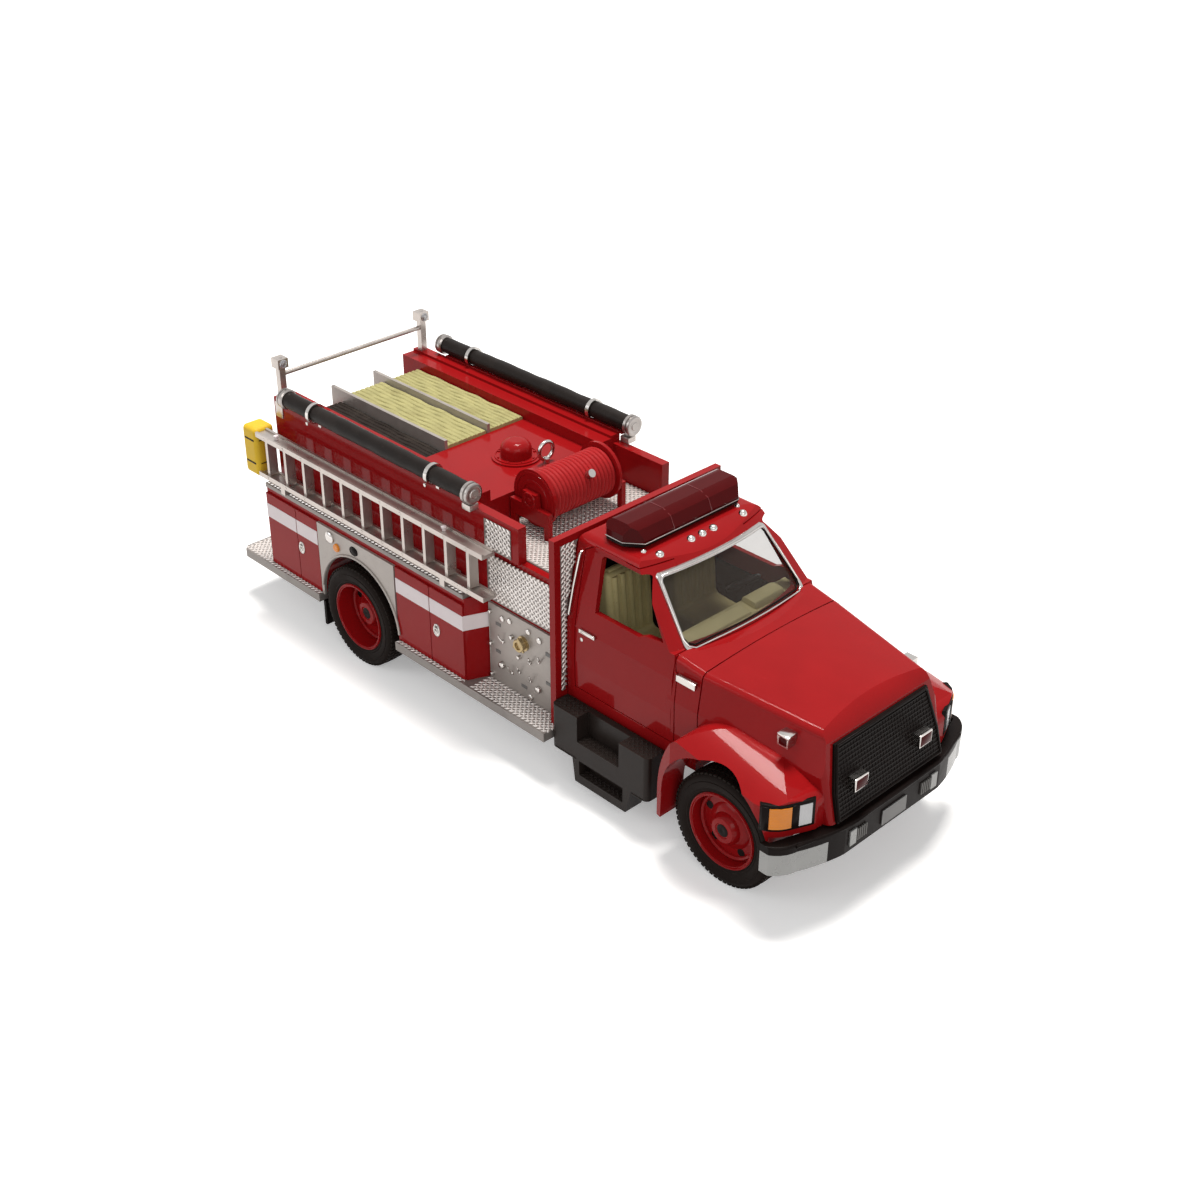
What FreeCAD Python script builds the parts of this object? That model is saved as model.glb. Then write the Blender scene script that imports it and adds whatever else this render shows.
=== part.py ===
import FreeCAD, Part
import math
import os
import Sketcher
from FreeCAD import Placement, Rotation, Vector

# Die-cast model fire engine: a bonneted pumper with a crew cab, a pump house behind a
# partition, a hose body, twin rear wheels and a hose reel that turns.
# X runs forward, Y to the left, Z up. The origin is on the ground under the middle.
# Stations are distances forward from the rear axle, in mm.

os.makedirs("parts", exist_ok=True)
doc = FreeCAD.newDocument("FireEngine")

SIZES = [
    # alias, mm
    ("overall_length", 177.6), ("rear_overhang", 46.6), ("wheelbase", 109.8),
    ("face_gap", 0.3), ("axle_clearance", 0.08),
    # wheels
    ("tyre_radius", 12.25), ("tyre_width", 6.2), ("rim_radius", 8.15), ("rim_wall", 0.7),
    ("front_tyre_face", 25.7), ("rear_tyre_face", 28.2), ("twin_gap", 0.8),
    ("axle_radius", 1.2), ("hub_radius", 2.9),
    # chassis
    ("rail_half_gap", 8.0), ("rail_width", 3.0), ("rail_top", 18.0), ("rail_bottom", 14.0),
    ("rail_rear", -34.5), ("rail_front", 126.0), ("bearing_bottom", 10.2), ("bearing_length", 5.0),
    ("screw_rear", 20.0), ("screw_front", 84.0), ("boss_radius", 2.8), ("screw_radius", 1.25),
    ("boss_bottom", 12.6), ("screw_depth", 4.4), ("crossmember_length", 3.0),
    # hose body
    ("body_rear", -35.4), ("body_half_width", 26.9), ("door_thickness", 0.5),
    ("locker_top", 32.4), ("underbody_half_gap", 14.2), ("wall_outer", 22.0),
    ("wall_shoulder", 19.4), ("bed_half_width", 16.0), ("wall_top", 54.2),
    ("shoulder_drop", 0.6), ("bed_floor", 47.0), ("tank_front", 34.3),
    ("locker_front", 36.8), ("return_front", 39.0), ("pump_half_width", 21.2),
    ("panel_rear", -15.1), ("panel_front", 13.7), ("arch_radius", 14.0), ("arch_rise", 0.4),
    ("door_top", 31.0), ("door_gap", 0.25), ("rear_door_split", -23.5), ("front_door_split", 25.5),
    ("wall_end", 49.6), ("end_wall_top", 52.4), ("end_wall_thickness", 2.2), ("ledge_thickness", 1.0),
    # running boards
    ("board_half_width", 28.0), ("board_top", 11.9), ("board_thickness", 2.1),
    ("board_front", 62.9), ("board_inner", 14.4),
    # pump house and partition
    ("pump_roof", 44.0), ("panel_thickness", 0.5), ("partition_rear", 61.0),
    ("partition_thickness", 1.6), ("partition_half_width", 24.1), ("partition_top", 55.5),
    ("partition_frame", 1.6), ("plate_inset", 0.3), ("lower_panel_top", 31.0),
    ("red_line", 0.9), ("upper_panel_top", 42.6),
    # tank top
    ("tank_rear", 9.0), ("tank_top", 51.0), ("tower_station", 22.4), ("tower_side", 1.8),
    ("tower_radius", 3.5), ("tower_flange", 5.5), ("tower_flange_height", 0.4), ("tower_height", 4.1),
    ("tower_round", 2.2), ("ring_station", 29.1), ("ring_side", 4.6), ("ring_radius", 2.0),
    ("ring_wire", 0.45),
    # hose bed
    ("divider_rear", -33.0), ("load_start", 4.0), ("divider_thickness", 0.8), ("divider_top", 53.2),
    ("divider_right", -7.0), ("divider_left", 5.4), ("load_top", 51.9), ("dark_load_top", 50.6),
    ("load_gap", 0.1),
    # suction hoses
    ("hose_side", 23.3), ("hose_lift", 0.25), ("hose_radius", 1.95), ("hose_rear", -27.0),
    ("hose_front", 35.8), ("cap_radius", 2.4), ("cap_length", 2.0), ("strap_width", 1.0),
    ("strap_thickness", 0.4), ("strap_clearance", 0.05), ("strap_rear", -17.0), ("strap_front", 24.7),
    ("tab_drop", 1.6),
    # rear posts
    ("post_station", -33.4), ("post_side", 20.7), ("post_width", 1.6), ("post_top", 61.8),
    ("post_head", 2.8), ("post_head_height", 2.3), ("crossbar_drop", 1.8), ("crossbar_radius", 0.55),
    # ladder
    ("ladder_rear", -35.6), ("ladder_front", 45.0), ("ladder_outer", 27.9), ("ladder_inner", 24.5),
    ("holder_height", 2.2), ("ladder_height", 11.3), ("rail_height", 1.2), ("rung_pitch", 7.2),
    ("rung_width", 0.9), ("rung_count", 11), ("first_rung", 3.0), ("rung_inset", 0.5), ("rail_lip", 0.6),
    ("lip_height", 0.4), ("holder_rear", -28.0), ("holder_front", 30.0), ("holder_width", 1.6),
    ("pad_rear", -41.2), ("pad_round", 1.1),
    # reel
    ("reel_station", 41.1), ("reel_height", 51.9), ("reel_half_width", 9.8), ("flange_radius", 6.4),
    ("flange_thickness", 0.8), ("drum_radius", 3.0), ("hose_coil_radius", 5.4),
    ("reel_pin_radius", 0.9), ("nozzle_radius", 0.9), ("nozzle_length", 1.4),
    ("nozzle_side", 1.6), ("nozzle_rise", 35.0), ("reel_clearance", 0.3), ("bracket_thickness", 1.2),
    ("bracket_top", 50.6), ("bracket_reach", 5.9),
    # cab
    ("cab_rear", 62.9), ("cowl_front", 98.6), ("cab_wall", 1.1), ("cab_half_width", 21.2),
    ("cab_roof", 55.5), ("belt_height", 41.7), ("belt_half_width", 20.2), ("crease_height", 36.0),
    ("roof_half_width", 17.6), ("roof_edge", 2.4), ("roof_crown", 0.45), ("roof_round", 1.5),
    ("roof_front", 76.5),
    ("header_rise", 0.5), ("cowl_rear", 92.0), ("cowl_lean", 0.8),
    ("screen_top_station", 81.8), ("screen_bottom_station", 91.6), ("screen_top", 52.6),
    ("screen_bottom", 41.7), ("screen_top_half", 15.0), ("screen_bottom_half", 16.6),
    ("screen_thickness", 0.6), ("screen_frame", 0.6), ("screen_radius", 80.0), ("screen_fall", 47.6),
    ("screen_bow", 2.0), ("screen_bow_rise", 0.05),
    ("seat_rise", 5.5), ("wheel_drop", 0.5), ("dash_reach", 5.6),
    ("window_rear", 70.2), ("window_sill", 41.1), ("window_head", 53.2), ("pillar_width", 3.0),
    ("door_front", 93.0), ("door_rear", 65.0), ("door_bottom", 21.6), ("groove_depth", 0.25),
    ("groove_width", 0.25),
    # light bar
    ("bar_rear", 67.4), ("bar_front", 77.0), ("bar_half_width", 16.2), ("bar_bottom", 56.0),
    ("bar_top", 60.5), ("bar_base_height", 0.9), ("marker_station", 79.5), ("marker_height", 54.85),
    ("marker_radius", 0.95), ("stud_station", 77.1), ("stud_radius", 0.6),
    # hood and fenders
    ("hood_rear", 98.9), ("hood_half_width", 20.9), ("hood_crease", 31.5), ("hood_rear_top", 40.1),
    ("hood_lean", 1.0), ("hood_round", 1.5), ("hood_crown", 0.8), ("hood_end", 131.0),
    ("nose_half_width", 16.8), ("nose_crease", 28.8), ("nose_top", 37.0), ("nose_lean", 2.4),
    ("nose_start", 117.6), ("nose_start_top", 39.7), ("nose_rise", 1.25), ("nose_soft", 1.3),
    ("fender_half_width", 28.5), ("fender_top", 32.0), ("fender_front_top", 27.5),
    ("fender_front", 127.2), ("fender_plan_round", 0.9),
    ("lamp_drop", 1.3), ("lamp_height", 4.6), ("lamp_proud", 0.3),
    ("crest_radius", 22.4), ("crest_side", 16.0), ("crest_top", 32.6), ("crest_fall", 10.0),
    ("crest_station", 106.0),
    ("front_arch_radius", 13.2), ("front_arch_height", 15.9), ("front_arch_shift", 0.3),
    ("fender_back", 94.9), ("fender_bottom", 9.2), ("fender_lip", 1.2),
    ("grille_top", 35.0), ("grille_bottom", 20.2), ("grille_top_half", 13.7),
    ("grille_bottom_half", 16.0), ("grille_top_station", 125.4), ("grille_bottom_station", 128.9),
    # bumper
    ("bumper_front", 130.6), ("bumper_half_width", 29.35), ("bumper_bottom", 12.9),
    ("bumper_top", 19.3), ("bumper_end", 122.6), ("bumper_depth", 2.4), ("bumper_flat_half", 14.5),
    ("bumper_corner", 4.6), ("bumper_sweep", 3.0), ("bumper_soft", 0.5), ("bumper_end_inner", 18.5),
    ("bumper_end_top", 17.6),
    ("plate_half_width", 3.6), ("plate_height", 3.2), ("plate_lift", 1.0), ("plate_proud", 0.4),
    # cab steps
    ("step_rear", 63.4), ("step_front", 91.0), ("step_face", 26.2), ("step_top", 19.6),
    ("step_bottom", 8.8), ("low_step_bottom", 3.2), ("step_round", 1.2),
    # mudflaps
    ("flap_thickness", 0.8), ("flap_bottom", 3.4),
]


class Size:
    """A number together with the sheet expression that gives it."""

    def __init__(self, value, text):
        self.value = float(value)
        self.text = text

    def join(self, other, sign, swap=False):
        first, second = (lift(other), self) if swap else (self, lift(other))
        values = {"+": lambda a, b: a + b, "-": lambda a, b: a - b,
                  "*": lambda a, b: a * b, "/": lambda a, b: a / b}
        return Size(values[sign](first.value, second.value),
                    "(%s %s %s)" % (first.text, sign, second.text))

    def __add__(self, other):
        return self.join(other, "+")

    def __radd__(self, other):
        return self.join(other, "+", True)

    def __sub__(self, other):
        return self.join(other, "-")

    def __rsub__(self, other):
        return self.join(other, "-", True)

    def __mul__(self, other):
        return self.join(other, "*")

    def __rmul__(self, other):
        return self.join(other, "*", True)

    def __truediv__(self, other):
        return self.join(other, "/")

    def __neg__(self):
        return Size(-self.value, "(0 - %s)" % self.text)


def lift(number):
    return number if isinstance(number, Size) else Size(number, repr(float(number)))


def sine(angle):
    return Size(math.sin(math.radians(angle.value)), "sin(%s * 1 deg)" % angle.text)


def cosine(angle):
    return Size(math.cos(math.radians(angle.value)), "cos(%s * 1 deg)" % angle.text)


class Sizes:
    """The sheet: one cell to each driving size, read back by its alias."""

    def __init__(self, rows):
        self.sheet = doc.addObject("Spreadsheet::Sheet", "Sizes")
        for row, (alias, value) in enumerate(rows, 1):
            self.sheet.set("A%d" % row, alias.replace("_", " "))
            self.sheet.set("B%d" % row, str(value))
            self.sheet.setAlias("B%d" % row, alias)
        doc.recompute()
        for alias, value in rows:
            setattr(self, alias, Size(value, "Sizes." + alias))


s = Sizes(SIZES)
rear_edge = -s.overall_length / 2
rear_axle = rear_edge + s.rear_overhang
front_axle = rear_axle + s.wheelbase


def at(station):
    return rear_axle + station


# ---- features -------------------------------------------------------------------------------

def bind(thing, name, size):
    size = lift(size)
    thing.setExpression(name, size.text)
    return size.value


def block(name, x, y, z):
    box = doc.addObject("Part::Box", name)
    box.Length, box.Width, box.Height = [lift(b - a).value for a, b in (x, y, z)]
    box.Placement.Base = Vector(*[lift(a).value for a, b in (x, y, z)])
    for side, (a, b) in zip(("Length", "Width", "Height"), (x, y, z)):
        bind(box, side, lift(b) - a)
    for letter, (a, b) in zip("xyz", (x, y, z)):
        bind(box, "Placement.Base." + letter, a)
    return box


TURNS = {"X": Rotation(Vector(0, 1, 0), 90), "Y": Rotation(Vector(1, 0, 0), -90), "Z": Rotation()}


def rod(name, axis, radius, low, high, centre):
    """A cylinder along one axis; centre gives its other two coordinates in XYZ order."""
    cylinder = doc.addObject("Part::Cylinder", name)
    place = list(centre)
    place.insert("XYZ".index(axis), low)
    cylinder.Radius, cylinder.Height = lift(radius).value, (lift(high) - low).value
    cylinder.Placement = Placement(Vector(*[lift(p).value for p in place]), TURNS[axis])
    bind(cylinder, "Radius", radius)
    bind(cylinder, "Height", lift(high) - low)
    for letter, p in zip("xyz", place):
        bind(cylinder, "Placement.Base." + letter, p)
    return cylinder


def leaning(name, radius, length, top, fall):
    """A cylinder along X that leans down forward; top is the middle of its highest line."""
    cylinder = doc.addObject("Part::Cylinder", name)
    x, y, z = [lift(p) for p in top]
    back = lift(length) / 2
    x = x - radius * sine(fall) - back * cosine(fall)
    z = z - radius * cosine(fall) + back * sine(fall)
    cylinder.Radius, cylinder.Height = radius.value, length
    cylinder.Placement = Placement(Vector(x.value, y.value, z.value),
        Rotation(Vector(0, 1, 0), 90 + fall.value))
    bind(cylinder, "Radius", radius)
    for letter, place in zip("xyz", (x, y, z)):
        bind(cylinder, "Placement.Base." + letter, place)
    bind(cylinder, "Placement.Rotation.Angle", fall + 90)
    return cylinder


def sketch(body, plane, offset, loops):
    """A sketch on one origin plane of its body, each corner held by sheet expressions.
    A corner is (u, v), or (u, v, rise) where an arc leads on to the next and rises to its left."""
    drawing = body.newObject("Sketcher::SketchObject", body.Name + "Sketch")
    plane_object = [f for f in body.Origin.OriginFeatures if f.Role == plane + "_Plane"][0]
    drawing.AttachmentSupport = [(plane_object, "")]
    drawing.MapMode = "FlatFace"
    drawing.AttachmentOffset = Placement(Vector(0, 0, lift(offset).value), Rotation())
    bind(drawing, "AttachmentOffset.Base.z", offset)

    def hold(kind, geometry, point, size):
        if abs(size.value) < 1e-9:
            size = Size(0, "0")
        index = drawing.addConstraint(Sketcher.Constraint(kind, -1, 1, geometry, point, size.value))
        drawing.setExpression("Constraints[%d]" % index, size.text)

    for loop in loops:
        if loop[0] == "circle":
            u, v, radius = [lift(n) for n in loop[1:]]
            circle = Part.Circle(Vector(u.value, v.value, 0), Vector(0, 0, 1), radius.value)
            index = drawing.addGeometry(circle, False)
            hold("DistanceX", index, 3, u)
            hold("DistanceY", index, 3, v)
            held = drawing.addConstraint(Sketcher.Constraint("Radius", index, radius.value))
            drawing.setExpression("Constraints[%d]" % held, radius.text)
            continue
        corners = [[lift(n) for n in corner] for corner in loop]
        points = [Vector(corner[0].value, corner[1].value, 0) for corner in corners]
        first = drawing.GeometryCount
        ends = []
        for k, corner in enumerate(corners):
            start, end = points[k], points[(k + 1) % len(points)]
            if len(corner) == 2:
                drawing.addGeometry(Part.LineSegment(start, end), False)
                ends.append((1, 2))
                continue
            after = corners[(k + 1) % len(corners)]
            right = corner[2].value < 0
            rise = -corner[2] if right else corner[2]
            across, up = after[0] - corner[0], after[1] - corner[1]
            radius = ((across * across + up * up) / 4 + rise * rise) / (rise * 2)
            outward = Vector(start.y - end.y, end.x - start.x, 0).normalize() * (-1 if right else 1)
            middle = (start + end) / 2 - outward * (radius.value - rise.value)
            turn = [math.atan2(p.y - middle.y, p.x - middle.x) for p in ((start, end) if right else (end,
                start))]
            if turn[1] < turn[0]:
                turn[1] += 2 * math.pi
            circle = Part.Circle(middle, Vector(0, 0, 1), radius.value)
            index = drawing.addGeometry(Part.ArcOfCircle(circle, *turn), False)
            held = drawing.addConstraint(Sketcher.Constraint("Radius", index, radius.value))
            drawing.setExpression("Constraints[%d]" % held, radius.text)
            ends.append((1, 2) if right else (2, 1))
        for k in range(len(points)):
            after = (k + 1) % len(points)
            drawing.addConstraint(Sketcher.Constraint("Coincident", first + k, ends[k][1], first + after,
                ends[after][0]))
        for k, corner in enumerate(corners):
            hold("DistanceX", first + k, ends[k][0], corner[0])
            hold("DistanceY", first + k, ends[k][0], corner[1])
    return drawing


def pad(body, plane, loops, low, high):
    """Adds a profile between two distances along the plane's world axis."""
    offset = -lift(high) if plane == "XZ" else lift(low)
    feature = body.newObject("PartDesign::Pad", body.Name + "Pad")
    feature.Profile = sketch(body, plane, offset, loops)
    feature.Length = (lift(high) - low).value
    bind(feature, "Length", lift(high) - low)
    return feature


def pocket(body, plane, loops, low, high):
    """Takes a profile away between two distances along the plane's world axis."""
    offset = -lift(low) if plane == "XZ" else lift(high)
    feature = body.newObject("PartDesign::Pocket", body.Name + "Pocket")
    feature.Profile = sketch(body, plane, offset, loops)
    feature.Type = "Length"
    feature.Length = (lift(high) - low).value
    bind(feature, "Length", lift(high) - low)
    POCKETS.append((feature, body))
    return feature


POCKETS = []


def solid(name, plane, loops, low, high):
    body = doc.addObject("PartDesign::Body", name)
    pad(body, plane, loops, low, high)
    return body


def turned(name, profile, station, side):
    """A profile of (distance inboard, radius) turned about the wheel axis of one right wheel."""
    body = doc.addObject("PartDesign::Body", name)
    feature = body.newObject("PartDesign::Revolution", name + "Turn")
    drawing = sketch(body, "YZ", lift(0.0), [profile])
    feature.Profile = drawing
    feature.ReferenceAxis = (drawing, ["H_Axis"])
    feature.Angle = 360
    body.Placement.Base = Vector(station.value, side.value, s.tyre_radius.value)
    bind(body, "Placement.Base.x", station)
    bind(body, "Placement.Base.y", side)
    bind(body, "Placement.Base.z", s.tyre_radius)
    return body


def lofted(name, plane, sections):
    """A ruled loft through outlines, each with its distance along the plane's axis."""
    body = doc.addObject("PartDesign::Body", name)
    drawings = [sketch(body, plane, offset, [loop]) for offset, loop in sections]
    feature = body.newObject("PartDesign::AdditiveLoft", name + "Loft")
    feature.Profile = drawings[0]
    feature.Sections = drawings[1:]
    feature.Ruled = True
    return body


def joined(kind, name, pieces):
    thing = doc.addObject(kind, name)
    if kind == "Part::Compound":
        thing.Links = pieces
    else:
        thing.Shapes = pieces
    return thing


def fuse(name, *pieces):
    return joined("Part::MultiFuse", name, list(pieces))


def common(name, *pieces):
    return joined("Part::MultiCommon", name, list(pieces))


def group(name, *pieces):
    return joined("Part::Compound", name, list(pieces))


def cut(name, base, *tools):
    thing = doc.addObject("Part::Cut", name)
    thing.Base = base
    thing.Tool = tools[0] if len(tools) == 1 else fuse(name + "Tools", *tools)
    return thing


def mirror(source, normal=(0, 1, 0)):
    thing = doc.addObject("Part::Mirroring", source.Name + "Left")
    thing.Source = source
    thing.Base = Vector(0, 0, 0)
    thing.Normal = Vector(*normal)
    return thing


def soften(base, radius, picks):
    """Rounds each straight edge that the test picks out by its ends."""
    doc.recompute()
    edges = []
    for index, edge in enumerate(base.Shape.Edges, 1):
        if picks(edge.CenterOfMass, edge):
            edges.append((index, lift(radius).value, lift(radius).value))
    if not edges:
        raise ValueError("no edge of %s to round" % base.Name)
    thing = doc.addObject("Part::Fillet", base.Name + "Rounded")
    thing.Base = base
    thing.Edges = edges
    return thing


NODES = []


def node(label, thing):
    thing.Label = label
    NODES.append(thing)
    return thing


def both(label, thing):
    return node(label, group(label + "_pair", thing, mirror(thing)))


def box_loop(u0, u1, v0, v1):
    return [(u0, v0), (u1, v0), (u1, v1), (u0, v1)]


# ---- chassis: two rails, crossmembers, axle bearings and two screw bosses ---------------------
rail_outer = s.rail_half_gap + s.rail_width
frame_pieces = []
for k, sign in enumerate((-1, 1)):
    low, high = (s.rail_half_gap, rail_outer) if sign > 0 else (-rail_outer, -s.rail_half_gap)
    frame_pieces.append(block("Rail%d" % k, (at(s.rail_rear), at(s.rail_front)), (low, high),
                              (s.rail_bottom, s.rail_top)))
    for j, axle in enumerate((rear_axle, front_axle)):
        half = s.bearing_length / 2
        frame_pieces.append(block("Bearing%d%d" % (k, j), (axle - half, axle + half), (low, high),
                                  (s.bearing_bottom, s.rail_bottom)))
for k, station in enumerate((-30.0, s.screw_rear, 52.0, s.screw_front, 122.0)):
    half = s.crossmember_length / 2
    frame_pieces.append(block("Crossmember%d" % k, (at(station) - half, at(station) + half),
                              (-s.rail_half_gap, s.rail_half_gap), (s.rail_bottom + 0.6, s.rail_top - 0.6)))
for k, station in enumerate((s.screw_rear, s.screw_front)):
    frame_pieces.append(rod("Boss%d" % k, "Z", s.boss_radius, s.boss_bottom, s.rail_top - 0.6,
        (at(station), 0)))
bores = [rod("AxleBore%d" % k, "Y", s.axle_radius + s.axle_clearance, -rail_outer - 1, rail_outer + 1,
             (axle, s.tyre_radius)) for k, axle in enumerate((rear_axle, front_axle))]
bores += [rod("ScrewHole%d" % k, "Z", s.screw_radius, s.boss_bottom - 1, s.boss_bottom + s.screw_depth,
              (at(station), 0)) for k, station in enumerate((s.screw_rear, s.screw_front))]
node("chassis", cut("ChassisCut", fuse("ChassisFrame", *frame_pieces), *bores))

# ---- running boards and tailboard ---------------------------------------------------------------
board_low = s.board_top - s.board_thickness
tailboard = solid("Tailboard", "XY", [[
    (rear_edge, -s.board_half_width + 1.2), (rear_edge + 1.2, -s.board_half_width),
    (at(s.panel_rear), -s.board_half_width), (at(s.panel_rear), -s.board_inner),
    (at(s.body_rear), -s.board_inner), (at(s.body_rear), s.board_inner),
    (at(s.panel_rear), s.board_inner), (at(s.panel_rear), s.board_half_width),
    (rear_edge + 1.2, s.board_half_width), (rear_edge, s.board_half_width - 1.2)]], board_low, s.board_top)
right_board = solid("RightBoard", "XY", [box_loop(at(s.panel_front), at(s.board_front),
                    -s.board_half_width, -s.board_inner)], board_low, s.board_top)
node("running_boards", group("Boards", tailboard, right_board, mirror(right_board)))

# ---- hose body -------------------------------------------------------------------------------
side = s.body_half_width - s.door_thickness


def both_sides(half):
    """A closed outline symmetric about the Z axis. Its right half runs from bottom to top, and
    a point with a third number starts an arc that rises outward to the next, or over the top."""
    right = [(-point[0],) + tuple(point[1:]) for point in half]
    left = [tuple(half[k][:2]) + (tuple(half[k - 1][2:]) if k else ()) for k in range(len(half) - 1, -1,
        -1)]
    return right + left


def in_plan(half):
    """An outline on the XY plane, symmetric about the X axis, from (y, x) points."""
    return [(point[1], point[0]) + tuple(-rise for rise in point[2:]) for point in both_sides(half)]


body_shell = doc.addObject("PartDesign::Body", "BodyShell")
pad(body_shell, "YZ", [both_sides([
    (s.underbody_half_gap, s.rail_top), (s.underbody_half_gap, s.board_top), (side, s.board_top),
    (side, s.locker_top), (s.wall_outer, s.locker_top), (s.wall_outer, s.wall_top),
    (s.wall_shoulder, s.wall_top), (s.wall_shoulder, s.wall_top - s.shoulder_drop),
    (s.bed_half_width, s.wall_top - s.shoulder_drop), (s.bed_half_width, s.bed_floor)])],
    at(s.body_rear), at(s.tank_front))
for sign in (-1, 1):
    pad(body_shell, "XY", [[(at(s.tank_front) - 0.5, sign * side), (at(s.locker_front), sign * side),
                            (at(s.return_front), sign * s.pump_half_width),
                            (at(s.tank_front) - 0.5, sign * s.pump_half_width)]], s.board_top, s.locker_top)
    pad(body_shell, "XY", [box_loop(at(s.tank_front) - 0.5, at(s.wall_end), sign * s.wall_outer,
                                    sign * (s.wall_outer - s.end_wall_thickness))], s.pump_roof,
                                    s.end_wall_top)
arch = [["circle", rear_axle, s.tyre_radius + s.arch_rise, s.arch_radius]]
for low, high in ((-side - 1, -s.underbody_half_gap), (s.underbody_half_gap, side + 1)):
    pocket(body_shell, "XZ", arch, low, high)
node("body_shell", body_shell)

doors = []
for k, (rear, front) in enumerate(((s.body_rear, s.rear_door_split), (s.rear_door_split, s.panel_rear),
                                   (s.panel_front, s.front_door_split),
                                   (s.front_door_split, s.locker_front))):
    doors.append(block("Door%d" % k, (at(rear) + s.door_gap / 2, at(front) - s.door_gap / 2),
                       (-s.body_half_width, -side), (s.board_top + 0.2, s.door_top)))
doors += [mirror(door) for door in doors]
node("compartment_doors", group("Doors", *doors))

fender = solid("FenderPanel", "XZ", [box_loop(at(s.panel_rear) + s.door_gap, at(s.panel_front) - s.door_gap,
               s.board_top, s.door_top)], -s.body_half_width - 0.15, -side)
pocket(fender, "XZ", arch, -s.body_half_width - 1, -side + 1)
both("fender_panels", fender)

both("ledge_trim", block("Ledge", (at(s.body_rear), at(s.locker_front)),
     (-s.body_half_width + 0.2, -s.wall_outer), (s.locker_top, s.locker_top + s.ledge_thickness)))

# ---- pump house, its panels and the partition ---------------------------------------------------
node("pump_house", block("PumpHouse", (at(s.tank_front), at(s.partition_rear)),
     (-s.pump_half_width, s.pump_half_width), (s.rail_top, s.pump_roof)))
panel_front = at(s.partition_rear) - 0.2
lower = block("LowerPanel", (at(s.return_front) + 0.2, panel_front),
              (-s.pump_half_width - s.panel_thickness, -s.pump_half_width),
              (s.board_top, s.lower_panel_top))
both("pump_panels", lower)
upper = block("UpperPanel", (at(s.return_front) + 0.2, panel_front),
              (-s.pump_half_width - s.panel_thickness, -s.pump_half_width),
              (s.lower_panel_top + s.red_line, s.upper_panel_top))
outer = block("WallPanel", (at(s.return_front) + 0.3, at(s.wall_end) - 2.2),
              (-s.wall_outer - 0.25, -s.wall_outer), (s.pump_roof + 0.5, s.end_wall_top - 1.2))
floor = block("RoofPlate", (at(s.tank_front) + 0.3, panel_front), (-19.6, 19.6),
              (s.pump_roof, s.pump_roof + 0.3))
node("diamond_panels", group("DiamondPanels", upper, mirror(upper), outer, mirror(outer), floor))

inset_low = s.rail_top + s.partition_frame
inset_high = s.partition_top - s.partition_frame
inset_side = s.partition_half_width - s.partition_frame
partition = solid("Partition", "YZ", [both_sides([(s.underbody_half_gap, s.rail_top),
                  (s.underbody_half_gap, s.board_top), (s.partition_half_width, s.board_top),
                  (s.partition_half_width, s.partition_top)])],
                  at(s.partition_rear), at(s.partition_rear) + s.partition_thickness)
for low in (at(s.partition_rear), at(s.partition_rear) + s.partition_thickness - s.plate_inset):
    pocket(partition, "YZ", [both_sides([(inset_side, inset_low), (inset_side, inset_high)])],
           low, low + s.plate_inset)
node("partition", partition)

# ---- tank top, tower and lifting ring -------------------------------------------------------------
tower_place = (at(s.tower_station), s.tower_side)
crown = s.tank_top + s.tower_height
top = fuse("TankTop", block("TankPlate", (at(s.tank_rear), at(s.tank_front)),
           (-s.bed_half_width, s.bed_half_width), (s.bed_floor, s.tank_top)),
           rod("TowerFlange", "Z", s.tower_flange, s.tank_top - 0.5, s.tank_top + s.tower_flange_height,
           tower_place),
           rod("Tower", "Z", s.tower_radius, s.tank_top - 0.5, crown, tower_place))
top = soften(top, s.tower_round, lambda c, e: abs(c.z - crown.value) < 1e-4 and e.Length > 10)
node("tank_top", top)

ring = doc.addObject("Part::Torus", "Ring")
ring.Radius1, ring.Radius2 = s.ring_radius.value, s.ring_wire.value
bind(ring, "Radius1", s.ring_radius)
bind(ring, "Radius2", s.ring_wire)
ring_height = s.tank_top + 0.9 + s.ring_radius
ring.Placement = Placement(Vector(at(s.ring_station).value, s.ring_side.value, ring_height.value),
                           Rotation(Vector(0, 1, 0), 90))
bind(ring, "Placement.Base.x", at(s.ring_station))
bind(ring, "Placement.Base.y", s.ring_side)
bind(ring, "Placement.Base.z", ring_height)
node("lifting_ring", fuse("RingAndFoot", ring, rod("RingFoot", "Z", 0.8, s.tank_top, s.tank_top + 1.1,
                                                    (at(s.ring_station), s.ring_side))))

# ---- hose bed ------------------------------------------------------------------------------------
half = s.divider_thickness / 2
dividers = [block("Divider%d" % k, (at(s.divider_rear), at(s.tank_rear)), (y - half, y + half),
                  (s.bed_floor, s.divider_top)) for k, y in enumerate((s.divider_right, s.divider_left))]
node("bed_dividers", group("Dividers", *dividers))
lanes = ((s.divider_right + half + s.load_gap, s.divider_left - half - s.load_gap),
         (s.divider_left + half + s.load_gap, s.bed_half_width - s.load_gap))
loads = [block("Load%d" % k, (at(s.divider_rear) + s.load_start, at(s.tank_rear) - s.load_gap), lane,
               (s.bed_floor, s.load_top)) for k, lane in enumerate(lanes)]
node("hose_loads", group("Loads", *loads))
node("dark_hose_load", block("DarkLoad", (at(s.divider_rear) + s.load_start, at(s.tank_rear) - s.load_gap),
     (-s.bed_half_width + s.load_gap, s.divider_right - half - s.load_gap), (s.bed_floor, s.dark_load_top)))

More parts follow.
